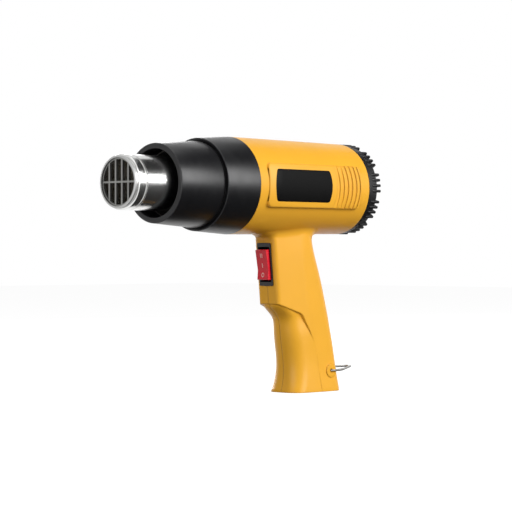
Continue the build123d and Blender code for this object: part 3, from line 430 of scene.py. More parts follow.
YELLOW: Colour = (0.87, 0.43, 0.032)
BLACK: Colour = (0.006, 0.006, 0.007)
FINISHES = (
    MouldedPlastic("yellow_housing", YELLOW, 0.36, Grain.SATIN, 1.5 * MM, 0.03, True, 1.32),
    MouldedPlastic("yellow_flush", YELLOW, 0.36, Grain.SATIN, 0, 0.03, True, 1.32),
    MouldedPlastic("heatproof_black", BLACK, 0.33, Grain.POLISHED, 0.5 * MM, ior=1.4),
    MouldedPlastic("intake_black", BLACK, 0.4, Grain.SATIN, 0.3 * MM, ior=1.42),
    MouldedPlastic("plate_film", (0.003,) * 3, 0.4, Grain.POLISHED, 0.2 * MM, ior=1.15),
    MouldedPlastic("switch_black", (0.008,) * 3, 0.42, Grain.SPARKED, 0.25 * MM, ior=1.42),
    MouldedPlastic("rocker_red", (0.72, 0.007, 0.026), 0.26, Grain.POLISHED, 0.35 * MM, ior=1.42),
    MouldedPlastic("duct_grey", (0.12, 0.12, 0.125), 0.55, Grain.SPARKED, 0),
    MouldedPlastic("soft_rubber", (0.02,) * 3, 0.7, Grain.SPARKED, 0.2 * MM),
    MouldedPlastic("capacitor_box", (0.75, 0.5, 0.06), 0.4, Grain.SATIN, 0.3 * MM),
    MouldedPlastic("laminate_board", (0.28, 0.18, 0.07), 0.5, Grain.SATIN, 0),
    MouldedPlastic("pressed_carbon", (0.03,) * 3, 0.6, Grain.SPARKED, 0),
    # The outlet's lip, from 32.6 mm on, is painted darker as shade for the dark it reflects.
    TurnedSteel("polished_tube", (0.72, 0.72, 0.71), 0.17, (6, 1, 1), dull_and_shaded_from=32.6 * MM),
    TurnedSteel("grille_steel", (0.22, 0.22, 0.21), 0.45, line_depth=0.2),
    TurnedSteel("oxidised_steel", (0.09, 0.085, 0.08), 0.6, line_depth=0.2),
    TurnedSteel("zinc_steel", (0.5, 0.51, 0.53), 0.35, line_depth=0.15),
    TurnedSteel("loop_wire", (0.4, 0.39, 0.37), 0.32, line_depth=0.15),
    TurnedSteel("resistance_wire", (0.3, 0.27, 0.25), 0.5, line_depth=0.2),
    TurnedSteel("ferrite", (0.08, 0.08, 0.09), 0.6, line_depth=0.2),
    TurnedSteel("brass_strip", (0.75, 0.55, 0.25), 0.35, line_depth=0.1),
    TurnedSteel("copper_winding", (0.75, 0.33, 0.16), 0.3, line_depth=0.3),
    # The ceramic and mica colours are painted shade: the real parts are pale and are set dark
    # like the shadowed inside of the tube. The scorch colours are their heat marks.
    FiredCeramic("heater_ceramic", (0.2, 0.18, 0.15), (0.12, 0.1, 0.08)),
    FiredCeramic("shaded_pressed_mica", (0.2, 0.17, 0.12), (0.14, 0.11, 0.07)),
    PrintedInk("mark_ink", (0.95, 0.6, 0.55), (0.8, 0.3, 0.3)),
)


def placed(name: str, mesh: Mesh, material: bpy.types.Material) -> bpy.types.Object:
    """Turn a finished bmesh into an object of the scene.

    Args:
        name: The object's name.
        mesh: Its geometry in row-frame metres; it is freed here.
        material: Its material.

    Returns:
        The new object.
    """
    data = bpy.data.meshes.new(name)
    mesh.to_mesh(data)
    mesh.free()
    data.materials.append(material)
    piece = bpy.data.objects.new(name, data)
    bpy.context.scene.collection.objects.link(piece)
    return piece


class Workshop:
    """The finished materials by name, and the calls that dress and add pieces."""

    def __init__(self) -> None:
        """Build every finish once."""
        self.materials = {finish.name: finish.build() for finish in FINISHES}

    def dress(self, finish: str, *nodes: str) -> None:
        """Give CAD nodes their finish.

        Args:
            finish: The finish's name.
            nodes: The nodes' names.
        """
        for name in nodes:
            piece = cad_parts[name]
            piece.data.materials.clear()
            piece.data.materials.append(self.materials[finish])
            LOG.info("dressed %s in %s", name, finish)

    def add_piece(
        self, name: str, mesh: Mesh, finish: str, body: str
    ) -> bpy.types.Object:
        """Turn a finished bmesh into a piece that rides on a body.

        Args:
            name: The piece's name.
            mesh: Its geometry in row-frame metres; it is freed here.
            finish: The finish's name.
            body: The CAD body that it moves with.

        Returns:
            The new object.
        """
        bmesh.ops.recalc_face_normals(mesh, faces=mesh.faces)
        piece = placed(name, mesh, self.materials[finish])
        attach(piece, body)
        LOG.info("added %s with %d faces", name, len(piece.data.polygons))
        return piece


def soften(mesh: Mesh, limit: float = SHARP_ANGLE) -> None:
    """Turn a mesh's faces outwards, shade it smooth and keep its true corners sharp.

    Args:
        mesh: The open bmesh.
        limit: The angle between two faces past which their edge stays sharp.
    """
    bmesh.ops.recalc_face_normals(mesh, faces=mesh.faces)
    for face in mesh.faces:
        face.smooth = True
    for edge in mesh.edges:
        if edge.calc_face_angle(0) > limit:
            edge.smooth = False


def round_off(mesh: Mesh, geom: list[object], size: float, steps: int, affect: str) -> None:
    """Round corners or edges off.

    Args:
        mesh: The open bmesh.
        geom: The corners' vertices or the edges.
        size: The rounding in metres.
        steps: The number of faces across it.
        affect: VERTICES or EDGES.
    """
    bmesh.ops.bevel(
        mesh,
        geom=geom,
        offset=size,
        segments=steps,
        profile=0.5,
        affect=affect,
        material=-1,
    )


def only(geom: list[object], kind: type) -> list[object]:
    """Pick the items of one kind out of an operator's result.

    Args:
        geom: Vertices, edges and faces.
        kind: The bmesh type that is wanted.

    Returns:
        The items of that type, in order.
    """
    return [item for item in geom if isinstance(item, kind)]


@dataclass(frozen=True)
class Corner:
    """One corner of a turned profile, in millimetres."""

    x: float
    radius: float
    rounding: float = 0.0


def turned(corners: tuple[Corner, ...], steps: int = 144, arc_steps: int = 5) -> Mesh:
    """Spin a closed profile round the blowing axis.

    Args:
        corners: The profile's corners in order.
        steps: The number of faces round the axis.
        arc_steps: The number of faces on each rounded corner.

    Returns:
        The turned body as a bmesh in metres.
    """
    mesh = bmesh.new()
    verts = [mesh.verts.new((corner.x * MM, 0, corner.radius * MM)) for corner in corners]
    for first, second in zip(verts, verts[1:] + verts[:1]):
        mesh.edges.new((first, second))
    for vert, corner in zip(verts, corners):
        if corner.rounding:
            round_off(mesh, [vert], corner.rounding * MM, arc_steps, "VERTICES")
    bmesh.ops.spin(
        mesh,
        geom=mesh.verts[:] + mesh.edges[:],
        cent=(0, 0, 0),
        axis=(1, 0, 0),
        angle=math.tau,
        steps=steps,
        use_merge=True,
    )
    return mesh


class Assembly:
    """A group of pieces that are dressed and shaped together."""

    finishes: dict[str, str] = {}

    def dress(self, shop: Workshop) -> None:
        """Give the group's CAD nodes their finishes.

        Args:
            shop: The workshop that has them.
        """
        for finish, nodes in self.finishes.items():
            shop.dress(finish, *nodes.split())

    def build(self, shop: Workshop) -> None:
        """Add the forms that the CAD nodes lack; a plain group has none.

        Args:
            shop: The workshop that adds the new pieces; not used by a plain group.
        """


@dataclass
class HotNozzle(Assembly):
    """Steel tube, grille and the heating element with its wound coils."""

    channels: int = 6
    channel_circle: float = 11.0 * MM
    core_front: float = -14.0 * MM
    core_rear: float = -66.0 * MM
    coil_radius: float = 1.5 * MM
    wire_radius: float = 0.36 * MM
    pitch: float = 1.9 * MM
    steps_per_turn: int = 12
    wire_sides: int = 6
    lead: float = 1.6 * MM
    tube: tuple[Corner, ...] = (
        Corner(31.9, 19.75, 0.5), Corner(32.2, 18.3), Corner(32.7, 18.2),
        Corner(33, 18.7, 0.2), Corner(35, 18.7, 0.7), Corner(35, 17.2), Corner(34.6, 17.2),
        Corner(34.6, 17.9), Corner(21.4, 17.9), Corner(20.35, 18.95), Corner(-78, 18.95),
        Corner(-78, 24.6), Corner(-77, 24.6), Corner(-77, 19.5), Corner(-1.5, 19.5),
        Corner(-1.5, 19.75), Corner(23.8, 19.75), Corner(24.1, 18.6, 0.25),
        Corner(25.7, 18.6, 0.25), Corner(26, 19.75),
    )

    finishes = {
        "polished_tube": "nozzle_tube",
        "grille_steel": "nozzle_grille",
        "oxidised_steel": "heat_shield",
        "zinc_steel": "heater_screws thermal_cutout",
        # The heater's ceramic and mica carry painted shade for the dark inside of the tube.
        "shaded_pressed_mica": "mica_sleeve heater_flange",
        "heater_ceramic": "heater_core",
        "resistance_wire": "heating_coils",
    }

    def wind(self, mesh: Mesh, angle: float) -> None:
        """Wind one channel's coil.

        Args:
            mesh: The open bmesh.
            angle: The channel's place round the axis, in radians.
        """
        length = self.core_front - self.core_rear + 2 * self.lead
        turns = length / self.pitch
        steps = int(turns * self.steps_per_turn)
        across = self.channel_circle * math.cos(angle)
        up = self.channel_circle * math.sin(angle)
        centre = Vector((self.core_front + self.lead, across, up))
        section = bmesh.ops.create_circle(mesh, segments=self.wire_sides, radius=self.wire_radius)
        stand = Matrix.Translation(centre + Vector((0, self.coil_radius, 0)))
        bmesh.ops.transform(mesh, matrix=stand, verts=section["verts"])
        edges = list({edge for vert in section["verts"] for edge in vert.link_edges})
        bmesh.ops.spin(
            mesh,
            geom=section["verts"] + edges,
            cent=centre,
            axis=(1, 0, 0),
            dvec=(-length / steps, 0, 0),
            angle=turns * math.tau,
            steps=steps,
        )

    def build(self, shop: Workshop) -> None:
        """Turn the tube and make the wound coils that stand for the plain heating element."""
        mesh = turned(self.tube)
        soften(mesh)
        tube = shop.add_piece("turned_tube", mesh, "polished_tube", "body")
        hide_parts("nozzle_tube")
        mesh = bmesh.new()
        for i in range(self.channels):
            self.wind(mesh, i * math.tau / self.channels)
        for face in mesh.faces:
            face.smooth = True
        coils = shop.add_piece("wound_coils", mesh, "resistance_wire", "body")
        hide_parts("heating_coils")


@dataclass
class FrontShroud(Assembly):
    """The black guard and its cone."""

    guard: tuple[Corner, ...] = (
        Corner(0, 24.7, 0.5), Corner(0, 28.7, 0.8), Corner(-40, 31.6, 0.8),
        Corner(-40, 29.8), Corner(-52, 29.8), Corner(-52, 26.6), Corner(-5.9, 26.6),
        Corner(-4, 24.7),
    )
    cone: tuple[Corner, ...] = (
        Corner(-41.1, 30.7), Corner(-42.2, 30.1), Corner(-41.1, 33.9, 0.7),
        Corner(-72.5, 36.0), Corner(-72.5, 32.4), Corner(-75.5, 32.4), Corner(-75.5, 31.4),
        Corner(-77.1, 31.4), Corner(-77.1, 32.4), Corner(-79.5, 32.4), Corner(-79.5, 29.4),
        Corner(-55.9, 29.4), Corner(-54.1, 27.6), Corner(-52.1, 27.6), Corner(-52.1, 30.1),
    )

    finishes = {
        "heatproof_black": "nozzle_guard shroud_base",
    }

    def build(self, shop: Workshop) -> None:
        """Turn both mouldings with the rims and the step of the real ones."""
        for name, corners, node in (
            ("turned_guard", self.guard, "nozzle_guard"),
            ("turned_cone", self.cone, "shroud_base"),
        ):
            mesh = turned(corners)
            soften(mesh)
            piece = shop.add_piece(name, mesh, "heatproof_black", "body")
            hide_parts(node)


class Blower(Assembly):
    """Fan duct, motor and fan wheel."""

    finishes = {
        "duct_grey": "fan_duct motor_end_cap impeller",
        "zinc_steel": "motor_can motor_screws motor_shaft rotor_core",
        "ferrite": "motor_magnets",
        "brass_strip": "motor_bushes motor_terminals",
        "pressed_carbon": "motor_brushes rectifier_diodes",
        "laminate_board": "rectifier_board",
        "copper_winding": "rotor_windings commutator",
    }


@dataclass
class Housing(Assembly):
    """The two yellow halves, their screws, the bare plate and the cord's fittings."""

    barrel_front: float = -72.5 * MM
    barrel_radius: float = 36.0 * MM
    taper: float = 1 / 121
    grip_outline: tuple[Triple, ...] = (
        (-156.9, -15.5, 12.4),
        (-138.8, -15.5, 4.0),
        (-113.1, -10.2, 3.4),
        (-113.1, 10.2, 3.4),
        (-138.8, 15.5, 4.0),
        (-156.9, 15.5, 12.4),
    )
    root_radius: float = 7.5 * MM
    root_steps: int = 10
    root_depth: float = 1.0 * MM
    root_side: float = 3.0 * MM
    root_cuts: int = 9
    corner_steps: int = 6
    edge_steps: int = 3
    panel_ends: Pair = (-81.3 * MM, -182.2 * MM)
    panel_half: float = 16.2 * MM
    panel_corners: Pair = (4.0 * MM, 1.5 * MM)
    panel_cut: float = -120.0 * MM
    panel_strips: Strips = (8, 1.9 * MM)
    panel_face: float = 36.87 * MM
    panel_crown: float = 66.0 * MM
    panel_anchor: float = 14.0 * MM
    panel_skirt: float = 5.0 * MM
    panel_edge: float = 0.5 * MM
    bow_from: float = -151.0 * MM
    bow: float = 3.0 * MM
    end_strip: float = 1.6 * MM
    end_bow: float = 0.6 * MM
    grooves: tuple[Pair, ...] = (
        (-154.2, 3.6),
        (-159.9, 2.0),
        (-164.7, 2.0),
        (-169.5, 2.0),
        (-174.3, 2.0),
        (-178.9, 0.9),
    )
    groove_depth: float = 0.66 * MM
    patch_ends: Pair = (-180.0 * MM, -189.0 * MM)
    patch_half: float = 13.0 * MM
    patch_corners: Pair = (3.0 * MM, 3.0 * MM)
    patch_lengths: int = 4
    patch_strips: Strips = (12, 1.0 * MM)
    patch_depth: float = 1.5 * MM
    patch_lift: float = 0.04 * MM
    plate_ends: Pair = (-90.0 * MM, -147.5 * MM)
    plate_half: float = 12.0 * MM
    plate_corners: Pair = (1.6 * MM, 1.6 * MM)
    plate_lengths: int = 8
    plate_strips: Strips = (7, 1.5 * MM)
    plate_depth: float = 0.6 * MM
    plate_bow: float = 2.4 * MM
    plate_lift: float = 0.2 * MM
    plate_edge: float = 0.25 * MM

    finishes = {
        "yellow_housing": "housing_left housing_right",
        "plate_film": "nameplate",
        "zinc_steel": "barrel_screws handle_screws cord_clamp_screws",
        "switch_black": "cord_clamp",
        "soft_rubber": "inlet_grommet",
        "capacitor_box": "suppression_capacitor",
    }

    def outline(self, corners: list[Triple]) -> Mesh:
        """Draw a flat outline with rounded corners.

        Args:
            corners: Each corner's two coordinates and its rounding, in metres.

        Returns:
            A bmesh with one face in the XY plane.
        """
        mesh = bmesh.new()
        verts = [mesh.verts.new((x, y, 0)) for x, y, _ in corners]
        mesh.faces.new(verts)
        for vert, (_, _, rounding) in zip(verts, corners):
            round_off(mesh, [vert], rounding, self.corner_steps, "VERTICES")
        return mesh

    def blank(
        self, ends: Pair, half: float, rounding: Pair, cuts: list[float], strips: Strips
    ) -> Mesh:
        """Draw a flat oblong with rounded corners, cut up so that it can be bent.

        Args:
            ends: The places of its front and rear ends.
            half: Half its height.
            rounding: The rounding of its front corners and of its rear corners.
            cuts: The places of the cuts across.
            strips: The number of lengthwise cuts on each side of the middle and their distance.

        Returns:
            A bmesh in the XY plane.
        """
        (front, rear), (fore, aft), (count, pitch) = ends, rounding, strips
        low = [(rear, -half, aft), (front, -half, fore)]
        high = [(front, half, fore), (rear, half, aft)]
        mesh = self.outline(low + high)
        across = [Vector((place, 0, 0)) for place in cuts]
        lengthwise = [Vector((0, i * pitch, 0)) for i in range(-count, count + 1)]
        for places, facing in ((across, Vector((1, 0, 0))), (lengthwise, Vector((0, 1, 0)))):
            for place in places:
                geom = mesh.verts[:] + mesh.edges[:] + mesh.faces[:]
                bmesh.ops.bisect_plane(mesh, geom=geom, plane_co=place, plane_no=facing)
        return mesh

    def barrel_at(self, x: float) -> float:
        """Find the barrel's radius.

        Args:
            x: The place along the barrel.

        Returns:
            The radius there.
        """
        return self.barrel_radius - self.taper * (self.barrel_front - x)

    def root_point(self, foot: Vector, outward: Vector, share: float) -> Vector:
        """Find a point on the ball-end fillet between grip and barrel.

        Args:
            foot: A point on the grip's outline.
            outward: The outline's outward direction there.
            share: The way round the fillet, from 0 on the grip to 1 on the barrel.

        Returns:
            The point in row-frame metres, or one inside the wall where the share is past 1.
        """
        radius = self.root_radius
        centre = foot + outward * radius
        centre.z = -math.sqrt((self.barrel_at(centre.x) + radius) ** 2 - centre.y**2)
        if share > 1:
            return foot - outward * self.root_depth + Vector((0, 0, centre.z + radius / 2))
        start = -outward
        inward = Vector((0, -centre.y, -centre.z)).normalized()
        turn = Quaternion().slerp(start.rotation_difference(inward), share)
        return centre + turn @ start * radius

    def root(self) -> Mesh:
        """Make the fillet that runs round the grip's top under the barrel.

        Returns:
            The fillet as a closed band whose back lies inside the wall.
        """
        mesh = self.outline([(x * MM, y * MM, r * MM) for x, y, r in self.grip_outline])
        long_edges = [edge for edge in mesh.edges if edge.calc_length() > self.root_side]
        bmesh.ops.subdivide_edges(mesh, edges=long_edges, cuts=self.root_cuts)
        mesh.normal_update()
        mesh.faces.ensure_lookup_table()
        face = mesh.faces[0]
        feet: dict[Pair, tuple[Vector, Vector]] = {}
        winding = 1 if face.normal.z > 0 else -1
        for loop in face.loops:
            along = loop.link_loop_next.vert.co - loop.link_loop_prev.vert.co
            outward = Vector((along.y, -along.x, 0)).normalized() * winding
            place = loop.vert.co
            feet[round(place.x, 7), round(place.y, 7)] = (place.copy(), outward)
        ring = face.edges[:]
        bmesh.ops.delete(mesh, geom=[face], context="FACES_ONLY")
        # Until each row is put in its place, its height is its number
        for _ in range(self.root_steps + 1):
            grown = bmesh.ops.extrude_edge_only(mesh, edges=ring)["geom"]
            ring = only(grown, bmesh.types.BMEdge)
            bmesh.ops.translate(mesh, verts=only(grown, bmesh.types.BMVert), vec=(0, 0, 1))
        for vert in mesh.verts:
            foot, outward = feet[round(vert.co.x, 7), round(vert.co.y, 7)]
            vert.co = self.root_point(foot, outward, round(vert.co.z) / self.root_steps)
        ends = [edge for edge in mesh.edges if edge.is_boundary]
        bmesh.ops.bridge_loops(mesh, edges=ends)
        return mesh

    def crowned(self, x: float, z: float, level: float) -> float:
        """Find how far out the side panel's crowned face lies.

        Args:
            x: The place along the barrel.
            z: The height.
            level: How far above the panel's face.

        Returns:
            The distance from the middle plane.
        """
        centre = self.panel_face - self.panel_crown
        centre -= self.taper * (self.panel_ends[0] + self.panel_anchor - x)
        return centre + math.sqrt((self.panel_crown + level) ** 2 - z**2)

    def even_cuts(self, ends: Pair, count: int) -> list[float]:
        """Find the cuts that divide a length evenly.

        Args:
            ends: The places of its front and rear ends.
            count: The number of its parts.

        Returns:
            The places of the cuts.
        """
        front, rear = ends
        return [rear + i * (front - rear) / count for i in range(1, count)]

    def skirted(self, mesh: Mesh, depth: float, edge_round: float) -> None:
        """Give a flat outline its side walls and a rounded edge.

        Args:
            mesh: The flat outline.
            depth: The walls' depth.
            edge_round: The edge's rounding.
        """
        rim = [edge for edge in mesh.edges if edge.is_boundary]
        grown = bmesh.ops.extrude_edge_only(mesh, edges=rim)["geom"]
        verts = only(grown, bmesh.types.BMVert)
        bmesh.ops.translate(mesh, verts=verts, vec=(0, 0, -depth))
        round_off(mesh, rim, edge_round, self.edge_steps, "EDGES")
        foot = [edge for edge in mesh.edges if edge.is_boundary]
        bmesh.ops.holes_fill(mesh, edges=foot, sides=0)

    def panel(self) -> Mesh:
        """Make the raised side panel with its blind grooves.

        Returns:
            The panel as a closed body whose back lies inside the wall.
        """
        half = self.panel_half
        cuts = [(x + side * width / 2) * MM for x, width in self.grooves for side in (-1, 1)]
        cuts += [self.bow_from, self.panel_cut]
        mesh = self.blank(self.panel_ends, half, self.panel_corners, cuts, self.panel_strips)
        sunk = []
        for face in mesh.faces:
            x = face.calc_center_median().x / MM
            if any(abs(x - place) < width / 2 for place, width in self.grooves):
                sunk.append(face)
        raised = bmesh.ops.extrude_face_region(mesh, geom=sunk)["geom"]
        bmesh.ops.delete(mesh, geom=sunk, context="FACES")
        floor = only(raised, bmesh.types.BMVert)
        bmesh.ops.translate(mesh, verts=floor, vec=(0, 0, -self.groove_depth))
        self.skirted(mesh, self.panel_skirt, self.panel_edge)
        for vert in mesh.verts:
            x, z, level = vert.co
            arch = 1 - min(1, (z / half) ** 2)
            if x <= self.panel_ends[1] + self.end_strip:
                x -= self.end_bow * arch
            elif x < self.bow_from:
                x -= self.bow * arch
            vert.co = Vector((x, self.crowned(x, z, level), z))
        return mesh

    def patch(self) -> Mesh:
        """Make the smooth bit of barrel behind the side panel.

        Returns:
            A thin closed skin on the barrel's surface.
        """
        cuts = self.even_cuts(self.patch_ends, self.patch_lengths)
        mesh = self.blank(
            self.patch_ends, self.patch_half, self.patch_corners, cuts, self.patch_strips
        )
        self.skirted(mesh, self.patch_depth, self.patch_lift / 2)
        for vert in mesh.verts:
            x, z, level = vert.co
            radius = self.barrel_at(x) + self.patch_lift + level
            vert.co = Vector((x, math.sqrt(radius**2 - z**2), z))
        return mesh

    def plate(self) -> Mesh:
        """Make the bare plate with its bowed ends.

        Returns:
            The plate as a closed body set in the panel.
        """
        (front, rear), half = self.plate_ends, self.plate_half
        cuts = self.even_cuts(self.plate_ends, self.plate_lengths)
        mesh = self.blank(self.plate_ends, half, self.plate_corners, cuts, self.plate_strips)
        self.skirted(mesh, self.plate_depth, self.plate_edge)
        middle = (front + rear) / 2
        for vert in mesh.verts:
            x, z, level = vert.co
            arch = 1 - min(1, (z / half) ** 2)
            x += self.plate_bow * arch * (x - middle) / (front - middle)
            vert.co = Vector((x, self.crowned(x, z, level + self.plate_lift), z))
        return mesh

    def build(self, shop: Workshop) -> None:
        """Add the root fillet, the barrel's patch, the side panel and the bare plate."""
        for name, mesh, finish in (
            ("root_fillet", self.root(), "yellow_flush"),
            ("barrel_patch", self.patch(), "yellow_flush"),
            ("side_panel", self.panel(), "yellow_housing"),
        ):
            soften(mesh)
            shop.add_piece(name, mesh, finish, "body")
        mesh = self.plate()
        soften(mesh)
        plate = shop.add_piece("bare_plate", mesh, "plate_film", "body")
        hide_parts("nameplate")


@dataclass
class RearIntake(Assembly):
    """The ribbed cap and the slotted cup under it."""

    sleeve: tuple[Corner, ...] = (
        Corner(-195.7, 34.0), Corner(-195.7, 34.9), Corner(-204.1, 34.0, 0.9),
        Corner(-204.1, 32.6, 0.3), Corner(-201.5, 32.6),
    )
    rib_groups: int = 10
    ribs_per_group: int = 4
    rib_pitch: float = math.radians(7.2)
    rib_phase: float = math.radians(7.5)
    rib_width: float = 2.2 * MM
    rib_height: float = 3.8 * MM
    rib_tip: float = 35.1 * MM
    rib_front: float = -197.6 * MM
    rib_rear: float = -207.4 * MM
    rib_round: float = 0.8 * MM
    round_steps: int = 3

    finishes = {
        "intake_black": "intake_cap intake_grille",
        "zinc_steel": "cap_screw",
    }

    def rib(self, mesh: Mesh, angle: float) -> None:
        """Add one rounded grip rib to the sleeve.

        Args:
            mesh: The open bmesh.
            angle: The rib's place round the axis, from +Y towards +Z.
        """
        bar = bmesh.new()
        bmesh.ops.create_cube(bar, size=1)
        size = (self.rib_front - self.rib_rear, self.rib_height, self.rib_width)
        bmesh.ops.transform(bar, matrix=Matrix.Diagonal((*size, 1)), verts=bar.verts)
        round_off(bar, bar.edges[:], self.rib_round, self.round_steps, "EDGES")
        along = (self.rib_front + self.rib_rear) / 2
        middle = Vector((along, self.rib_tip - self.rib_height / 2, 0))
        stand = Matrix.Rotation(angle, 4, "X") @ Matrix.Translation(middle)
        bmesh.ops.transform(bar, matrix=stand, verts=bar.verts)
        shape = bpy.data.meshes.new("rib")
        bar.to_mesh(shape)
        bar.free()
        mesh.from_mesh(shape)
        bpy.data.meshes.remove(shape)

    def build(self, shop: Workshop) -> None:
        """Add the deeper sleeve and its full, rounded ribs over the plain cap."""
        mesh = turned(self.sleeve)
        for group in range(self.rib_groups):
            for rib in range(self.ribs_per_group):
                step = rib - (self.ribs_per_group - 1) / 2
                middle = self.rib_phase + group * math.tau / self.rib_groups
                self.rib(mesh, middle + step * self.rib_pitch)
        soften(mesh)
        shop.add_piece("cap_sleeve", mesh, "intake_black", "regulator")


class HangingLoop(Assembly):
    """The wire loop behind the grip."""

    finishes = {
        "loop_wire": "hang_loop",
    }


class Mark(Enum):
    """Generic position marks on the rocker."""

    HIGH = "II"
    LOW = "I"
    OFF = "O"


@dataclass
class RockerSwitch(Assembly):
    """Panel rocker with its three printed position marks."""

    centre: Vector = field(default_factory=lambda: Vector((-114.916, 0, -58.22)) * MM)
    lean: float = math.radians(5.7)
    kink: Pair = (-4.3 * MM, 3.4 * MM)
    top_end: Pair = (11.35 * MM, 4.7 * MM)
    foot_end: Pair = (-11.35 * MM, 4.7 * MM)
    ink_height: float = 0.06 * MM
    stroke: float = 0.6 * MM
    bar_length: float = 3.3 * MM
    bar_gap: float = 1.5 * MM
    ring_radius: float = 1.7 * MM
    ring_sides: int = 32
    ring_width: float = 0.8
    places: dict[Mark, float] = field(
        default_factory=lambda: {Mark.HIGH: 6.9 * MM, Mark.LOW: -0.6 * MM, Mark.OFF: -7.6 * MM}
    )

    finishes = {
        "switch_black": "switch_body",
        "rocker_red": "switch_rocker",
        "brass_strip": "switch_terminals",
    }

    def seat(self, up: float) -> Matrix:
        """Find the place on the rocker's face at a height along it.

        Args:
            up: Distance from the panel's middle, positive upwards.

        Returns:
            A transform whose X runs across, Y up the face and Z out of it.
        """
        far = self.top_end if up > self.kink[0] else self.foot_end
        share = (up - self.kink[0]) / (far[0] - self.kink[0])
        out = self.kink[1] + share * (far[1] - self.kink[1])
        along = Vector((far[0] - self.kink[0], far[1] - self.kink[1])).normalized()
        if along.x < 0:
            along = -along
        panel_up = Vector((math.sin(self.lean), 0, math.cos(self.lean)))
        panel_out = Vector((math.cos(self.lean), 0, -math.sin(self.lean)))
        face_up = panel_up * along.x + panel_out * along.y
        across = Vector((0, 1, 0))
        face_out = across.cross(face_up)
        origin = self.centre + panel_up * up + panel_out * out
        turn = Matrix((across, face_up, face_out)).transposed().to_4x4()
        return Matrix.Translation(origin) @ turn

    def bar(self, mesh: Mesh, across: float) -> None:
        """Draw one upright stroke in the mark's own plane.

        Args:
            mesh: The open bmesh.
            across: The stroke's place across the face.
        """
        shape = bmesh.ops.create_cube(mesh, size=1)
        size = Matrix.Diagonal((self.stroke, self.bar_length, self.ink_height * 2, 1))
        stand = Matrix.Translation((across, 0, 0)) @ size
        bmesh.ops.transform(mesh, matrix=stand, verts=shape["verts"])

    def ring(self, mesh: Mesh) -> None:
        """Draw the upright oval in the mark's own plane.

        Args:
            mesh: The open bmesh.
        """
        loops = []
        for radius in (self.ring_radius, self.ring_radius - self.stroke):
            made = bmesh.ops.create_circle(mesh, segments=self.ring_sides, radius=radius)
            loops += made["verts"]
        edges = [edge for edge in mesh.edges if all(vert in loops for vert in edge.verts)]
        faces = bmesh.ops.bridge_loops(mesh, edges=edges)["faces"]
        raised = bmesh.ops.extrude_face_region(mesh, geom=faces)["geom"]
        lifted = only(raised, bmesh.types.BMVert)
        bmesh.ops.translate(mesh, verts=lifted, vec=(0, 0, self.ink_height))
        narrow = Matrix.Diagonal((self.ring_width, 1, 1, 1))
        bmesh.ops.transform(mesh, matrix=narrow, verts=loops + lifted)

    def build(self, shop: Workshop) -> None:
        """Print the three marks on the rocker."""
        for mark, up in self.places.items():
            mesh = bmesh.new()
            if mark is Mark.OFF:
                self.ring(mesh)
            elif mark is Mark.LOW:
                self.bar(mesh, 0)
            else:
                for side in (-1, 1):
                    self.bar(mesh, side * self.bar_gap / 2)
            bmesh.ops.transform(mesh, matrix=self.seat(up), verts=mesh.verts)
            shop.add_piece("mark_" + mark.name.lower(), mesh, "mark_ink", "rocker")


@dataclass(frozen=True)
class Lamp:
    """One soft lamp, hung in metres from the camera's target and turned to face it."""

    name: str
    place: Triple
    size: Pair
    watts: float


@dataclass(frozen=True)
class Card:
    """One black card that only reflections see, facing the camera's target or lying flat."""

    name: str
    place: Triple
    size: Pair
    flat: bool = False


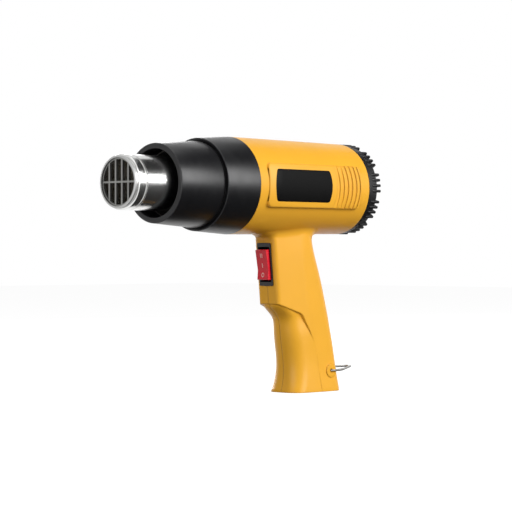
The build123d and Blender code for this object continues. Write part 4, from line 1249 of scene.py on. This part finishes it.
@dataclass
class Studio:
    """Pale floor, soft lamps, dark reflection cards and the photograph's camera."""

    target: Vector = field(default_factory=lambda: Vector((-104.3, 0, -51.96)) * MM)
    direction: Vector = field(default_factory=lambda: Vector((0.7193, 0.6947, 0.0016)))
    distance: float = 1.4965
    lens: float = 140.625
    sensor: float = 36.0
    reach: float = 50.0
    floor_level: float = -155.6 * MM
    floor_size: float = 8.0
    floor_matt: float = 0.15
    floor_seen: float = 0.3
    floor_glow: float = 0.91
    card_grey: float = 0.01
    ambient: float = 0.2
    lamps: tuple[Lamp, ...] = (
        Lamp("key_lamp", (-0.5, 1.4, 0.53), (1.1, 0.9), 25),
        Lamp("top_lamp", (-0.1, 0.1, 1.5), (1.2, 0.8), 4),
        Lamp("far_lamp", (-0.55, -1.4, 0.45), (1.1, 0.9), 17),
        Lamp("front_lamp", (1.3, 0.35, 0.25), (0.8, 0.8), 8),
    )
    cards: tuple[Card, ...] = (
        Card("card_above", (-1.0, 0.35, 0.95), (1.6, 1.0)),
        Card("card_below", (-1.0, 0.84, -0.1015), (2.2, 1.8), True),
    )

    def camera(self) -> None:
        """Set up the camera at the photograph's viewing angle."""
        data = bpy.data.cameras.new("camera")
        data.lens = self.lens
        data.sensor_width = self.sensor
        data.clip_end = self.reach
        camera = bpy.data.objects.new("camera", data)
        camera.location = self.target + self.direction.normalized() * self.distance
        camera.rotation_euler = (-self.direction).to_track_quat("-Z", "Y").to_euler()
        bpy.context.scene.collection.objects.link(camera)
        bpy.context.scene.camera = camera

    def split(self, tree: Tree, others: Socket, seen: Socket, output: str) -> None:
        """Show one shader to the camera, mirrors and panes, and another to all other rays.

        Args:
            tree: The node tree of the floor or the world.
            others: The shader for all other rays.
            seen: The shader that is seen.
            output: The type of the output node without its ShaderNodeOutput prefix.
        """
        path = tree.add("LightPath").outputs
        share = tree.maths("MAXIMUM", path["Is Camera Ray"], path["Is Glossy Ray"])
        share = tree.maths("MAXIMUM", share, path["Is Transmission Ray"])
        mix = tree.add("MixShader")
        for socket, value in zip(mix.inputs, (share, others, seen)):
            tree.feed(socket, value)
        tree.feed(tree.add("Output" + output).inputs[0], mix.outputs[0])

    def world(self) -> None:
        """Light the room evenly and show white behind the tool."""
        world = bpy.data.worlds.new("room")
        bpy.context.scene.world = world
        tree = Tree(world, bare=True)
        fill = tree.add("Background", Color=grey(1), Strength=self.ambient)
        white = tree.add("Background", Color=grey(1))
        self.split(tree, fill.outputs[0], white.outputs[0], "World")

    def floor(self) -> None:
        """Lay the pale floor under the grip."""
        material = bpy.data.materials.new("pale_floor")
        tree = Tree(material, bare=True)
        matt = tree.add("BsdfDiffuse", Color=grey(self.floor_matt))
        dim = tree.add("BsdfDiffuse", Color=grey(self.floor_seen))
        glow = tree.add("Emission", Strength=self.floor_glow)
        lifted = tree.add("AddShader")
        tree.feed(lifted.inputs[0], dim.outputs[0])
        tree.feed(lifted.inputs[1], glow.outputs[0])
        self.split(tree, matt.outputs[0], lifted.outputs[0], "Material")
        mesh = bmesh.new()
        bmesh.ops.create_grid(mesh, x_segments=1, y_segments=1, size=self.floor_size / 2)
        bmesh.ops.translate(mesh, verts=mesh.verts, vec=(0, 0, self.floor_level))
        floor = placed("floor", mesh, material)

    def hang(self, spec: Lamp) -> None:
        """Hang one soft lamp that faces the tool.

        Args:
            spec: The lamp's place, size and power.
        """
        data = bpy.data.lights.new(spec.name, "AREA")
        data.shape = "RECTANGLE"
        data.size, data.size_y = spec.size
        data.energy = spec.watts
        place = Vector(spec.place)
        lamp = bpy.data.objects.new(spec.name, data)
        lamp.location = self.target + place
        lamp.rotation_euler = (-place).to_track_quat("-Z", "Y").to_euler()
        bpy.context.scene.collection.objects.link(lamp)

    def stand(self, spec: Card) -> None:
        """Stand a black card where only reflections see it.

        Args:
            spec: The card's place and size.
        """
        place = Vector(spec.place)
        turn = (-place).to_track_quat("Z", "Y").to_matrix().to_4x4()
        if spec.flat:
            turn = Matrix.Identity(4)
        scale = Matrix.Diagonal((*spec.size, 1, 1))
        stand = Matrix.Translation(self.target + place) @ turn @ scale
        mesh = bmesh.new()
        bmesh.ops.create_grid(mesh, x_segments=1, y_segments=1, size=0.5)
        bmesh.ops.transform(mesh, matrix=stand, verts=mesh.verts)
        recipe = Recipe(spec.name)
        recipe.set(Base_Color=grey(self.card_grey), Roughness=1)
        card = placed(spec.name, mesh, recipe.material)
        card.visible_camera = False
        card.visible_diffuse = False
        card.visible_shadow = False
        card.visible_transmission = False

    def build(self) -> None:
        """Set up the whole studio."""
        self.camera()
        self.world()
        self.floor()
        for lamp in self.lamps:
            self.hang(lamp)
        for card in self.cards:
            self.stand(card)
        bpy.context.scene.view_settings.view_transform = "Standard"


def main() -> None:
    """Dress the tool, add its details and set up the studio."""
    logging.basicConfig(level=logging.INFO, format="%(name)s: %(message)s")
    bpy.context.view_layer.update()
    studio = Studio()
    studio.build()
    shop = Workshop()
    kinds = (HotNozzle, FrontShroud, Housing, RearIntake, RockerSwitch, Blower, HangingLoop)
    assemblies = [kind() for kind in kinds]
    for assembly in assemblies:
        assembly.dress(shop)
    for assembly in assemblies:
        assembly.build(shop)
    bpy.context.view_layer.update()


if __name__ == "__main__":
    main()
